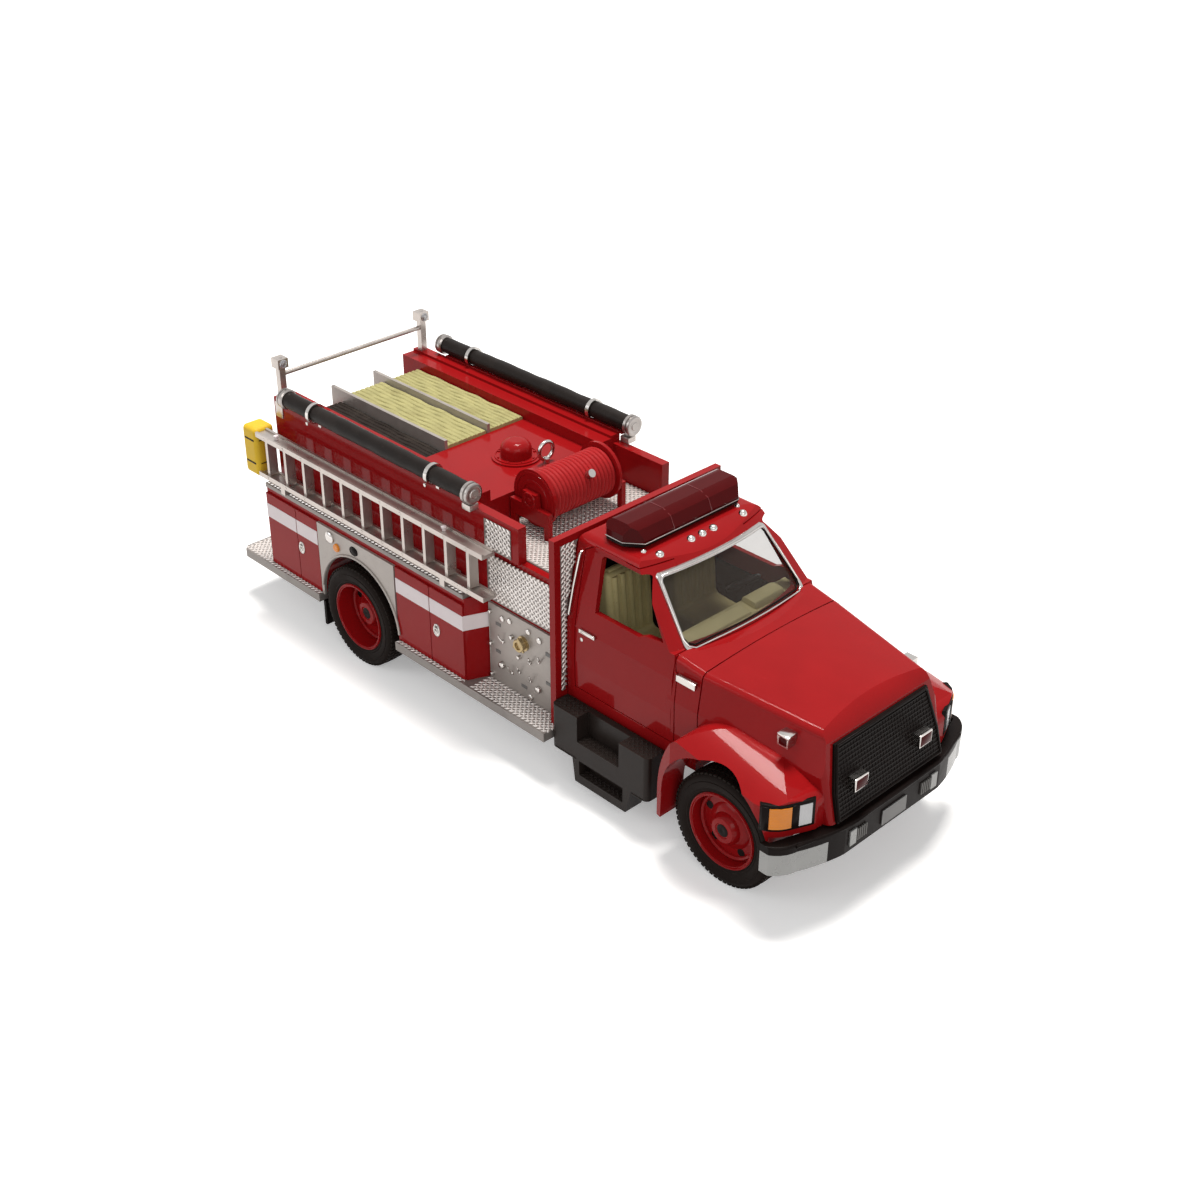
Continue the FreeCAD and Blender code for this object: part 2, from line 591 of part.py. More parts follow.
# ---- suction hoses with caps and straps --------------------------------------------------------------
hose_height = s.wall_top + s.hose_radius + s.hose_lift
centre = (-s.hose_side, hose_height)
both("suction_hoses", rod("SuctionHose", "X", s.hose_radius, at(s.hose_rear), at(s.hose_front), centre))
caps = [rod("CapRear", "X", s.cap_radius, at(s.hose_rear) - s.cap_length, at(s.hose_rear), centre),
        rod("CapFront", "X", s.cap_radius, at(s.hose_front), at(s.hose_front) + s.cap_length, centre)]
node("hose_caps", group("Caps", *(caps + [mirror(cap) for cap in caps])))
straps = []
inner = s.hose_radius + s.strap_clearance
for k, station in enumerate((s.strap_rear, s.strap_front)):
    low, high = at(station) - s.strap_width / 2, at(station) + s.strap_width / 2
    band = rod("Band%d" % k, "X", inner + s.strap_thickness, low, high, centre)
    tab = block("Tab%d" % k, (low, high), (-s.wall_outer - s.strap_thickness, -s.wall_outer),
                (s.wall_top - s.tab_drop, hose_height - s.hose_radius / 2))
    hole = rod("BandHole%d" % k, "X", inner, low - 1, high + 1, centre)
    straps.append(cut("Strap%d" % k, fuse("StrapBlank%d" % k, band, tab), hole))
node("hose_straps", group("Straps", *(straps + [mirror(strap) for strap in straps])))

# ---- rear posts with lamp heads and a fixed crossbar ----------------------------------------------
half = s.post_width / 2
post = fuse("Post", block("PostBar", (at(s.post_station) - half, at(s.post_station) + half),
            (-s.post_side - half, -s.post_side + half), (s.wall_top, s.post_top)),
            block("PostHead", (at(s.post_station) - s.post_head / 2, at(s.post_station) + s.post_head / 2),
                  (-s.post_side - s.post_head / 2, -s.post_side + s.post_head / 2),
                  (s.post_top, s.post_top + s.post_head_height)))
bar = rod("Crossbar", "Y", s.crossbar_radius, -s.post_side + half, s.post_side - half,
          (at(s.post_station), s.post_top - s.crossbar_drop))
node("lamp_posts", group("Posts", post, mirror(post), bar))
node("rear_panel", block("RearPanel", (at(s.body_rear) - 0.5, at(s.body_rear)), (-side + 1, side - 1),
                         (s.board_top, s.locker_top)))
lamp = block("TailLamp", (at(s.body_rear) - 1.3, at(s.body_rear) - 0.5), (-side + 2.2, -side + 6.2),
             (s.board_top + 6.0, s.board_top + 9.0))
both("tail_lamps", lamp)

# ---- ladder: one moulding on edge with grooved rails, carried by brackets on the ledge ------------
ladder = doc.addObject("PartDesign::Body", "Ladder")
ladder_low = s.locker_top + s.ledge_thickness + s.holder_height
ladder_high = ladder_low + s.ladder_height
rails = ((ladder_low, ladder_low + s.rail_height), (ladder_high - s.rail_height, ladder_high))
for low, high in rails:
    pad(ladder, "XZ", [box_loop(at(s.ladder_rear), at(s.ladder_front), low, high)], -s.ladder_outer,
        -s.ladder_inner)
for k in range(int(s.rung_count.value)):
    rung = at(s.ladder_rear) + s.first_rung + s.rung_pitch * k
    pad(ladder, "XY", [box_loop(rung, rung + s.rung_width, -s.ladder_outer + s.rung_inset,
                                -s.ladder_inner - s.rung_inset)], rails[0][1] - 0.2, rails[1][0] + 0.2)
for low, high in rails:
    pocket(ladder, "XY", [box_loop(at(s.ladder_rear) - 1, at(s.ladder_front) + 1,
        -s.ladder_outer + s.rail_lip,
                                   -s.ladder_inner - s.rail_lip)], high - s.lip_height, high)
node("ladder", ladder)
holders = [block("Holder%d" % k, (at(station), at(station) + s.holder_width),
                 (-s.ladder_outer + s.rail_lip, -s.wall_outer - 0.6),
                 (s.locker_top + s.ledge_thickness, ladder_low))
           for k, station in enumerate((s.holder_rear, s.holder_front))]
node("ladder_brackets", group("Holders", *holders))
pad_block = block("PadBlock", (at(s.pad_rear), at(s.ladder_rear) - 0.05),
    (-s.board_half_width, -s.ladder_inner + 2.0),
                  (ladder_low - 0.6, ladder_high + 0.4))
node("ladder_pad", soften(pad_block, s.pad_round, lambda c, e: True))

# ---- hose reel ---------------------------------------------------------------------------------------
axis = (at(s.reel_station), s.reel_height)
flange_face = s.reel_half_width
bracket_face = flange_face + s.reel_clearance
bracket = solid("Bracket", "XZ", [[
    (at(s.reel_station) - s.bracket_reach, s.pump_roof + 0.3),
    (at(s.reel_station) - s.bracket_reach + 1.4, s.pump_roof + 0.3),
    (at(s.reel_station) - s.bracket_reach + 1.4, s.bracket_top - 3.4),
    (at(s.reel_station) + s.bracket_reach - 1.4, s.bracket_top - 3.4),
    (at(s.reel_station) + s.bracket_reach - 1.4, s.pump_roof + 0.3),
    (at(s.reel_station) + s.bracket_reach, s.pump_roof + 0.3),
    (at(s.reel_station) + s.bracket_reach, s.bracket_top), (at(s.reel_station) + 2.4, s.bracket_top),
    (at(s.reel_station) + 2.0, s.reel_height + 1.8), (at(s.reel_station) - 2.0, s.reel_height + 1.8),
    (at(s.reel_station) - 2.4, s.bracket_top), (at(s.reel_station) - s.bracket_reach, s.bracket_top)]],
    -bracket_face - s.bracket_thickness, -bracket_face)
pocket(bracket, "XZ", [["circle", axis[0], axis[1], s.reel_pin_radius + s.axle_clearance]],
       -bracket_face - s.bracket_thickness - 1, -bracket_face + 1)
both("reel_brackets", bracket)
drum = [rod("Drum", "Y", s.drum_radius, -flange_face, flange_face, axis),
        rod("ReelPin", "Y", s.reel_pin_radius, -bracket_face - s.bracket_thickness,
        bracket_face + s.bracket_thickness, axis)]
for k, (low, high) in enumerate(((-flange_face, -flange_face + s.flange_thickness),
                                 (flange_face - s.flange_thickness, flange_face))):
    drum.append(rod("Flange%d" % k, "Y", s.flange_radius, low, high, axis))
node("reel_drum", fuse("ReelDrum", *drum))
coil_half = flange_face - s.flange_thickness
coil = rod("CoilBody", "Y", s.hose_coil_radius, -coil_half, coil_half, axis)
node("reel_hose", cut("ReelHose", coil, rod("CoilBore", "Y", s.drum_radius, -coil_half - 1, coil_half + 1,
    axis)))
nozzle = rod("Nozzle", "X", s.nozzle_radius, at(s.reel_station) + s.hose_coil_radius * cosine(s.nozzle_rise),
             at(s.reel_station) + s.hose_coil_radius * cosine(s.nozzle_rise) + s.nozzle_length,
             (s.nozzle_side, s.reel_height + s.hose_coil_radius * sine(s.nozzle_rise)))
nozzle.Placement.Rotation = Rotation(Vector(0, 1, 0), 90 - s.nozzle_rise.value)
node("reel_nozzle", nozzle)

# ---- cab: upper part under a bowed screen, lower part and cowl, hollowed by the same form drawn in --
def roof_side(inset):
    """The upper part from the side, between the belt and the roof."""
    rear, roof, belt = at(s.cab_rear) + inset, s.cab_roof - inset, s.belt_height - 0.5 - inset
    return [(rear, belt), (rear, roof - s.roof_round, 0.44), (rear + s.roof_round, roof),
            (at(s.roof_front), roof, s.header_rise), (at(s.screen_top_station) + 1.6, s.screen_top + 0.7),
            (at(s.screen_bottom_station) + 2.8, belt)]


def cab_front(inset, floor):
    """The cab from the front, its sides leaning in above the belt."""
    return both_sides([(s.cab_half_width - 0.3 - inset, floor), (s.cab_half_width - inset, 28.0),
                       (s.cab_half_width - 0.2 - inset, s.crease_height),
                       (s.belt_half_width - inset, s.belt_height),
                       (s.roof_half_width + 0.3 - inset, s.cab_roof - s.roof_edge - inset, 0.65),
                       (s.roof_half_width - 1.8 - inset, s.cab_roof - 0.15 - inset, s.roof_crown)])


def cowl_frame(half_width, lean, top, inset, floor):
    """One cross-section between the screen and the hood."""
    return both_sides([(half_width - 0.2 - inset, floor), (half_width - inset, s.hood_crease),
                       (half_width - lean - inset, top - s.hood_round - inset, 0.42),
                       (half_width - lean - s.hood_round - inset, top - inset, s.hood_crown - 0.1)])


screen_middle = at((s.screen_top_station + s.screen_bottom_station) / 2 + s.screen_bow)
screen_centre = (s.screen_top + s.screen_bottom) / 2 + s.screen_bow_rise


def cab_form(name, inset, floor):
    """The whole cab drawn in by one wall."""
    sides = solid(name + "Front", "YZ", [cab_front(inset, floor)], at(s.cab_rear), at(s.hood_rear))
    bow = leaning(name + "Bow", s.screen_radius - inset, 90.0,
                  (screen_middle - inset, 0, screen_centre - inset), s.screen_fall)
    upper = common(name + "Upper", solid(name + "Side", "XZ", [roof_side(inset)], -width, width), sides,
        bow)
    lower = common(name + "Lower", sides, block(name + "Box", (at(s.cab_rear) + inset, at(s.cowl_rear)),
                   (-width, width), (floor, s.belt_height - 0.4 - inset)))
    cowl = lofted(name + "Cowl", "YZ", [
        (at(s.cowl_rear) - 1.0, cowl_frame(s.cab_half_width, s.cowl_lean, s.belt_height - 0.4, inset,
        floor)),
        (at(s.cowl_front) - inset, cowl_frame(s.hood_half_width, s.hood_lean, s.hood_rear_top, inset,
        floor))])
    return fuse(name, upper, lower, cowl)


width = s.cab_half_width + 5
outer_cab = cab_form("CabOuter", lift(0.0), s.rail_top)
inner_cab = cab_form("CabInner", s.cab_wall, s.rail_top + s.cab_wall)
window_rear, window_front = at(s.window_rear), at(s.screen_bottom_station) - s.pillar_width
windows = solid("SideWindows", "XZ", [[
    (window_rear, s.window_sill), (window_rear - 0.4, s.window_head - 1.2, 0.3),
    (window_rear + 0.6, s.window_head),
    (window_front - 8.2, s.window_head, 0.2), (window_front - 6.8, s.window_head - 0.9),
    (window_front, s.window_sill + 1.4), (window_front - 4.4, s.window_sill + 0.9),
    (window_front - 6.2, s.window_sill)]], -width, width)


def screen_outline(edge):
    return both_sides([(s.screen_bottom_half + edge - 1.4, s.screen_bottom - edge - 0.6, 0.5),
                       (s.screen_bottom_half + edge, s.screen_bottom - edge + 1.0),
                       (s.screen_top_half + edge, s.screen_top + edge - 1.4, 0.3),
                       (s.screen_top_half + edge - 1.0, s.screen_top + edge - 0.3, 0.3)])


def screen_slab(name, outward, inward):
    """A bowed slab along the screen between two distances from its outer face."""
    skins = [leaning(name + end, s.screen_radius + reach, 34.0,
                     (screen_middle + reach * sine(s.screen_fall), 0,
                      screen_centre + reach * cosine(s.screen_fall)), s.screen_fall)
             for end, reach in (("Outer", lift(outward)), ("Inner", -lift(inward)))]
    return cut(name, *skins)


opening = solid("ScreenOpening", "YZ", [screen_outline(lift(0.0))], at(s.screen_top_station) - 3,
                at(s.hood_rear))
groove_form = cab_form("CabGroove", s.groove_depth, s.rail_top)
door_line = solid("DoorLine", "XZ", [
    [(at(s.door_rear), s.door_bottom), (at(s.door_rear), s.window_head - 0.5),
    (at(s.door_rear) + 2.6, s.window_head + 1.1),
     (at(s.screen_top_station), s.window_head + 1.0), (at(s.door_front) - 1.0, s.belt_height),
     (at(s.door_front), s.crease_height), (at(s.door_front), s.door_bottom)],
    [(at(s.door_rear) + s.groove_width, s.door_bottom + s.groove_width),
     (at(s.door_rear) + s.groove_width, s.window_head - 0.6),
     (at(s.door_rear) + 2.7, s.window_head + 1.1 - s.groove_width),
     (at(s.screen_top_station) - 0.1, s.window_head + 1.0 - s.groove_width),
     (at(s.door_front) - 1.0 - s.groove_width, s.belt_height - 0.1),
     (at(s.door_front) - s.groove_width, s.crease_height), (at(s.door_front) - s.groove_width,
     s.door_bottom + s.groove_width)]],
    -width, -10.0)
groove = cut("DoorGroove", door_line, groove_form)
node("cab_shell", cut("CabShell", outer_cab, inner_cab, windows, opening, groove, mirror(groove)))
glass_outline = solid("GlassOutline", "YZ", [screen_outline(lift(-0.05))], at(s.screen_top_station) - 5,
                      at(s.hood_rear))
node("windscreen", common("Windscreen", screen_slab("GlassSlab", -0.3, 0.3 + s.screen_thickness),
    glass_outline))
frame_ring = cut("FrameRing", solid("FrameOuter", "YZ", [screen_outline(s.screen_frame)],
                 at(s.screen_top_station) - 5, at(s.hood_rear)),
                 solid("FrameInner", "YZ", [screen_outline(lift(-0.05))], at(s.screen_top_station) - 6,
                       at(s.hood_rear) + 1))
screen_frame = cut("ScreenFrame", common("FrameSlabRing", screen_slab("FrameSlab", 0.35, 0.5),
    frame_ring), outer_cab)
node("screen_frame", screen_frame)

# ---- cab fittings ---------------------------------------------------------------------------------
floor_top = s.rail_top + s.cab_wall
seat_top = s.belt_height + s.seat_rise
seats = []
for k, y in enumerate((-9.6, 9.6)):
    profile = [[(at(66.5), floor_top), (at(78.5), floor_top), (at(78.5), 31.0), (at(70.6), 31.6),
                (at(69.0), seat_top), (at(66.0), seat_top), (at(65.0), 32.0)]]
    seat = solid("Seat%d" % k, "XZ", profile, y - 6.2, y + 6.2)
    seats.append(soften(seat, 1.1, lambda c, e: c.z > 30.5 and e.Length > 1.5))
node("cab_seats", group("Seats", *seats))
dash_rear = at(s.screen_bottom_station) - s.dash_reach
dash = solid("Dash", "XZ", [[(dash_rear + 2.0, 30.0), (at(s.cowl_front) - s.cab_wall - 0.1, 30.0),
             (at(s.cowl_front) - s.cab_wall - 0.1, 37.6), (dash_rear + 4.4, 39.8), (dash_rear, 40.2),
             (dash_rear - 0.6, 38.6)]],
             -s.cab_half_width + s.cab_wall + 1.4, s.cab_half_width - s.cab_wall - 1.4)
node("dashboard", dash)

wheel_height = s.belt_height - s.wheel_drop
wheel = doc.addObject("Part::Torus", "SteeringRim")
wheel.Radius1, wheel.Radius2 = 3.4, 0.45
wheel.Placement = Placement(Vector(at(lift(82.6)).value, 9.6, wheel_height.value), Rotation(Vector(0, 1, 0), -35))
bind(wheel, "Placement.Base.x", at(lift(82.6)))
bind(wheel, "Placement.Base.z", wheel_height)
column = rod("SteeringColumn", "Z", 0.6, wheel_height, wheel_height + 7.2, (at(82.6), 9.6))
column.Placement.Rotation = Rotation(Vector(0, 1, 0), 145)
spoke = rod("SteeringSpoke", "Y", 0.4, 9.6 - 3.4, 9.6 + 3.4, (at(82.6), wheel_height))
node("steering_wheel", cut("SteeringSeat", fuse("SteeringParts", wheel, column, spoke), dash))

handle = block("DoorHandle", (at(66.8), at(71.2)), (-s.cab_half_width - 0.35, -s.cab_half_width + 0.15),
    (35.7, 36.5))
bar_piece = block("CowlBar", (at(93.4), at(98.2)), (-s.cab_half_width - 0.2, -s.cab_half_width + 0.6),
    (36.9, 38.1))
trim = [cut("HandleSeat", handle, outer_cab), cut("CowlBarSeat", bar_piece, outer_cab)]
node("cab_trim", group("CabTrim", *(trim + [mirror(piece) for piece in trim])))

# ---- light bar and roof lamps -----------------------------------------------------------------------
seam = s.bar_bottom + s.bar_base_height
lens = solid("Lens", "XZ", [[
    (at(s.bar_rear), seam), (at(s.bar_rear), seam + 0.5), (at(s.bar_rear) + 1.5, s.bar_top - 0.6, 0.15),
    (at(s.bar_rear) + 3.2, s.bar_top), (at(s.bar_front) - 3.2, s.bar_top, 0.1),
    (at(s.bar_front) - 1.1, s.bar_top - 0.9), (at(s.bar_front), seam + 0.5), (at(s.bar_front), seam)]],
    -s.bar_half_width, s.bar_half_width)
lens_front = solid("LensFront", "YZ", [both_sides([
    (s.bar_half_width, s.bar_bottom - 1), (s.bar_half_width, seam + 1.4),
    (s.bar_half_width - 1.2, s.bar_top + 0.2)])],
    at(s.bar_rear) - 1, at(s.bar_front) + 1)
bar_plan = solid("BarPlan", "XY", [in_plan([
    (s.bar_half_width - 1.6, at(s.bar_rear) - 0.1), (s.bar_half_width, at(s.bar_rear) + 1.8),
    (s.bar_half_width, at(s.bar_front) - 3.4), (s.bar_half_width - 2.8, at(s.bar_front) + 0.1)])],
    s.bar_bottom - 1, s.bar_top + 1)
node("light_bar_lens", common("LightBarLens", lens, lens_front, bar_plan))
tray = common("BarTray", bar_plan, block("BarTrayBlock", (at(s.bar_rear) + 0.2, at(s.bar_front) - 0.2),
                                         (-s.bar_half_width, s.bar_half_width), (s.bar_bottom, seam)))
foot = block("BarFoot", (at(s.bar_rear) + 2.4, at(s.bar_front) - 3.0),
    (-s.bar_half_width + 4.2, -s.bar_half_width + 6.7),
             (s.cab_roof, s.bar_bottom))
node("light_bar_base", fuse("LightBarBase", tray, foot, mirror(foot)))
markers = []
for k, (station, y, radius) in enumerate((
        (s.marker_station, -12.0, s.marker_radius), (s.marker_station, -3.2, s.marker_radius),
        (s.marker_station, 0.0, s.marker_radius), (s.marker_station, 3.2, s.marker_radius),
        (s.marker_station, 12.0, s.marker_radius), (s.stud_station, -14.0, s.stud_radius),
        (s.stud_station, 13.0, s.stud_radius))):
    dome = doc.addObject("Part::Sphere", "MarkerDome%d" % k)
    height = s.marker_height + (s.marker_station - station) / 5
    dome.Radius = radius.value
    dome.Placement.Base = Vector(at(station).value, y, height.value)
    bind(dome, "Radius", radius)
    bind(dome, "Placement.Base.x", at(station))
    bind(dome, "Placement.Base.z", height)
    markers.append(cut("Marker%d" % k, dome, outer_cab))
node("roof_lamps", group("RoofLamps", *markers))

# ---- hood lofted between two framed sections, and fenders from the overlap of three forms ---------
def hood_frame(half_width, crease, top, lean):
    """One cross-section of the hood, its edges rounded and its top crowned."""
    return both_sides([(half_width, s.rail_top), (half_width, crease),
        (half_width - lean, top - s.hood_round, 0.42),
                       (half_width - lean - s.hood_round, top, s.hood_crown)])


hood_loft = lofted("HoodLoft", "YZ", [
    (at(s.hood_rear), hood_frame(s.hood_half_width, s.hood_crease, s.hood_rear_top, s.hood_lean)),
    (at(s.hood_end), hood_frame(s.nose_half_width, s.nose_crease, s.nose_top, s.nose_lean))])
bumper_back = at(s.bumper_front) - s.bumper_depth
skirt_front = bumper_back - s.bumper_sweep / 3 - s.face_gap
hood_side = solid("HoodSide", "XZ", [[
    (at(s.hood_rear), s.rail_top), (at(s.hood_rear), s.hood_rear_top + 3),
    (at(s.nose_start), s.nose_start_top, s.nose_rise),
    (at(s.grille_top_station) - 0.1, s.grille_top + 0.6),
    (at(s.grille_bottom_station) + 0.1, s.grille_bottom - 0.4),
    (skirt_front, s.bumper_top + 0.2),
    (skirt_front, s.rail_top)]],
    -width, width)
hood_block = soften(common("HoodBlock", hood_loft, hood_side), s.nose_soft,
                    lambda c, e: c.x > at(s.nose_start).value + 7 and abs(c.y) > 13 and e.Length > 8)

arch_centre = front_axle - s.front_arch_shift
fender_low = s.bumper_top + s.face_gap
fender_side = solid("FenderSide", "XZ", [[
    (at(s.fender_back), s.fender_bottom), (at(s.fender_back), s.front_arch_height - 1, 1.0),
    (arch_centre - 10.9, s.fender_top - 3.8, 0.9), (arch_centre - 3.5, s.fender_top, 0.4),
    (arch_centre + 6.5, s.fender_top - 1.0, 0.25), (at(s.fender_front) - 2.6, s.fender_front_top, 0.7),
    (at(s.fender_front), s.fender_front_top - 3.0), (at(s.fender_front), fender_low),
    (arch_centre + s.front_arch_radius + 0.1, fender_low), (arch_centre + s.front_arch_radius,
    s.front_arch_height),
    (arch_centre - s.front_arch_radius, s.front_arch_height), (at(s.fender_back) + s.fender_lip,
    s.fender_bottom)]],
    -s.fender_half_width, -s.hood_half_width + 6)
fender_plan = solid("FenderPlan", "XY", [[
    (at(s.fender_back), -10.0), (at(s.fender_front) + 1, -10.0),
    (at(s.fender_front) + 1, -s.nose_half_width),
    (at(s.fender_front) - 0.4, -s.fender_half_width + 8.1),
    (at(s.fender_front) - 2.2, -s.fender_half_width + 3.9,
    s.fender_plan_round), (at(s.fender_front) - 7.4, -s.fender_half_width),
    (at(s.hood_rear), -s.fender_half_width), (at(s.fender_back), -s.fender_half_width + 1.0)]],
    s.fender_bottom - 1, s.fender_top + 2)
crest = leaning("FenderCrest", s.crest_radius, 50.0, (at(s.crest_station), -s.crest_side, s.crest_top),
    s.crest_fall)
fender_blank = common("FenderBlank", fender_side, fender_plan, crest)
wheel_arch = rod("WheelArch", "Y", s.front_arch_radius, -s.fender_half_width - 1, -s.hood_half_width + 8,
                 (arch_centre, s.front_arch_height))
wheel_well = block("WheelWell", (arch_centre - s.front_arch_radius, arch_centre + s.front_arch_radius),
                   (-s.fender_half_width - 1, -s.hood_half_width + 8),
                   (s.fender_bottom - 2, s.front_arch_height))
cab_clear = block("CabClear", (at(s.fender_back) - 1, at(s.hood_rear)), (-s.cab_half_width - s.face_gap, 0),
                  (s.fender_bottom - 2, s.hood_rear_top + 5))
right_fender = cut("RightFender", fender_blank, wheel_arch, wheel_well, cab_clear)
hood_blank = fuse("HoodBlank", hood_block, right_fender, mirror(right_fender))
node("hood_shell", cut("HoodShell", hood_blank, mirror(wheel_arch), wheel_arch))

# ---- grille, lamps and bumper ----------------------------------------------------------------------
grille_slab = solid("GrilleSlab", "XZ", [[
    (at(s.grille_bottom_station) + 0.15, s.grille_bottom), (at(s.grille_bottom_station) + 0.75,
    s.grille_bottom),
    (at(s.grille_top_station) + 0.55, s.grille_top), (at(s.grille_top_station) - 0.05, s.grille_top)]],
    -width, width)
grille_face = solid("GrilleFace", "YZ", [both_sides([(s.grille_bottom_half, s.grille_bottom - 1),
                    (s.grille_bottom_half - 0.2, 26.0), (s.grille_top_half, s.grille_top + 1)])],
                    at(s.grille_top_station) - 3, at(s.grille_bottom_station) + 3)
grille_blank = common("GrilleBlank", grille_slab, grille_face)
node("grille", cut("Grille", grille_blank, hood_block))
grille_lamp = block("GrilleLamp", (at(s.grille_bottom_station) - 1.0, at(s.grille_bottom_station) + 0.8),
                    (-s.grille_top_half + 2.1, -s.grille_top_half + 5.8),
                    (s.grille_bottom + 5.0, s.grille_bottom + 7.7))
both("grille_lamps", cut("GrilleLampSeat", grille_lamp, hood_block, grille_blank))
front_blank = fuse("FrontBlank", hood_block, right_fender)
lamp_low, lamp_high = s.fender_front_top - s.lamp_drop - s.lamp_height, s.fender_front_top - s.lamp_drop
lamp_face = solid("LampFace", "XY", [[
    (at(s.fender_front) - 12, -s.fender_half_width + 12), (at(s.fender_front) - 0.1, -s.fender_half_width + 12),
    (at(s.fender_front) - 0.1, -s.fender_half_width + 8.0),
    (at(s.fender_front) - 1.9, -s.fender_half_width + 3.75, s.fender_plan_round),
    (at(s.fender_front) - 7.3, -s.fender_half_width - s.lamp_proud),
    (at(s.fender_front) - 12, -s.fender_half_width - s.lamp_proud)]], lamp_low, lamp_high)
for label, outer, inner, back in (("headlamps", 5.6, 8.0, 3.6), ("turn_lamps", -1.0, 5.3, 5.0)):
    lamp = common(label + "Blank", lamp_face, block(
        label + "Block", (at(s.fender_front) - back, at(s.fender_front) + 1),
        (-s.fender_half_width + outer, -s.fender_half_width + inner), (lamp_low - 1, lamp_high + 1)))
    both(label, cut(label + "Seat", lamp, front_blank))
fender_lamp = block("FenderLamp", (at(s.nose_start) - 0.6, at(s.nose_start) + 2.0),
                    (-s.hood_half_width + 1.5, -s.hood_half_width + 4.1),
                    (s.nose_top - 3.5, s.nose_top - 1.0))
both("fender_lamps", cut("FenderLampSeat", fender_lamp, front_blank))

corner, back = s.bumper_half_width - s.bumper_corner, at(s.bumper_front) - s.bumper_sweep
bumper_bar = solid("BumperBar", "XY", [in_plan([
    (s.bumper_flat_half, bumper_back), (corner - 1.0, back - s.bumper_depth),
    (s.bumper_half_width - 1.2, at(s.bumper_end) + 1.2), (s.bumper_half_width - 1.2, at(s.bumper_end)),
    (s.bumper_half_width, at(s.bumper_end)), (s.bumper_half_width, at(s.bumper_end) + 2.0, 0.6),
    (corner, back, 0.35), (s.bumper_flat_half, at(s.bumper_front))])], s.bumper_bottom, s.bumper_top)
bumper_bar = soften(bumper_bar, s.bumper_soft, lambda c, e: abs(c.z - s.bumper_top.value) < 1e-4 and (
    isinstance(e.Curve, Part.Circle) or abs(c.x - at(s.bumper_front).value) < 1e-4))
end_block = block("BumperEndBlock", (at(s.bumper_end) - 1, at(s.bumper_front) + 1),
                  (-s.bumper_half_width - 1, -s.bumper_end_inner), (s.bumper_bottom - 1, s.bumper_end_top))
node("bumper", cut("Bumper", bumper_bar, end_block, mirror(end_block)))
both("bumper_ends", common("BumperEnd", bumper_bar, end_block))
node("number_plate", block("NumberPlate", (at(s.bumper_front), at(s.bumper_front) + s.plate_proud),
     (-s.plate_half_width, s.plate_half_width), (s.bumper_bottom + s.plate_lift,
     s.bumper_bottom + s.plate_lift + s.plate_height)))

# ---- cab steps and mudflaps -------------------------------------------------------------------------
steps = solid("CabStep", "XZ", [[
    (at(s.step_rear), s.step_top - 0.4), (at(s.step_rear), s.step_bottom), (at(69.6), s.step_bottom),
    (at(70.4), s.low_step_bottom),
    (at(85.0), s.low_step_bottom), (at(86.4), s.step_bottom), (at(s.step_front), s.step_bottom),
    (at(s.step_front), s.step_top - 0.4)]],
    -s.step_face, -s.cab_half_width - s.face_gap)
pocket(steps, "XZ", [box_loop(at(71.0), at(83.0), 13.4, s.step_top + 1)], -s.step_face - 1,
    -s.step_face + 3.2)
pocket(steps, "XZ", [box_loop(at(71.6), at(84.2), s.low_step_bottom + 2.2, s.step_bottom)],
       -s.step_face - 1, -s.step_face + 2.4)
steps = soften(steps, s.step_round, lambda c, e: abs(c.y + s.step_face.value) < 1e-4 and min(
    abs(c.x - at(s.step_rear).value), abs(c.x - at(s.step_front).value)) < 1e-4)
arm = block("StepArm", (at(s.step_rear) + 2, at(s.step_front) - 2), (-s.cab_half_width - s.face_gap - 0.5,
    -rail_outer), (s.rail_bottom, s.rail_top - 0.5))
both("side_steps", fuse("CabStepAndArm", steps, arm))
flap = block("Flap", (at(s.panel_rear), at(s.panel_rear) + s.flap_thickness),
    (-s.body_half_width, -s.board_inner - 1.0),
             (s.flap_bottom, s.board_top - s.board_thickness - 0.0))
both("mudflaps", flap)

# ---- wheels ------------------------------------------------------------------------------------------
tyre_profile = [(0.5, s.rim_radius), (0.0, s.rim_radius + 1.2), (0.1, s.tyre_radius - 1.2),
    (1.0, s.tyre_radius - 0.15),
                (1.8, s.tyre_radius), (s.tyre_width - 1.8, s.tyre_radius),
                (s.tyre_width - 1.0, s.tyre_radius - 0.15),
                (s.tyre_width - 0.1, s.tyre_radius - 1.2), (s.tyre_width, s.rim_radius + 1.2),
                (s.tyre_width - 0.5, s.rim_radius)]


def rim_profile(width, disc):
    inner = s.rim_radius - s.rim_wall
    return [(0.35, s.rim_radius), (width - 0.35, s.rim_radius), (width - 0.35, inner), (disc + 0.9, inner),
            (disc + 0.9, 0.0), (disc - 2.2, 0.0), (disc - 2.2, s.hub_radius - 0.6),
            (disc - 1.4, s.hub_radius),
            (disc, s.hub_radius), (disc, inner), (0.35, inner)]


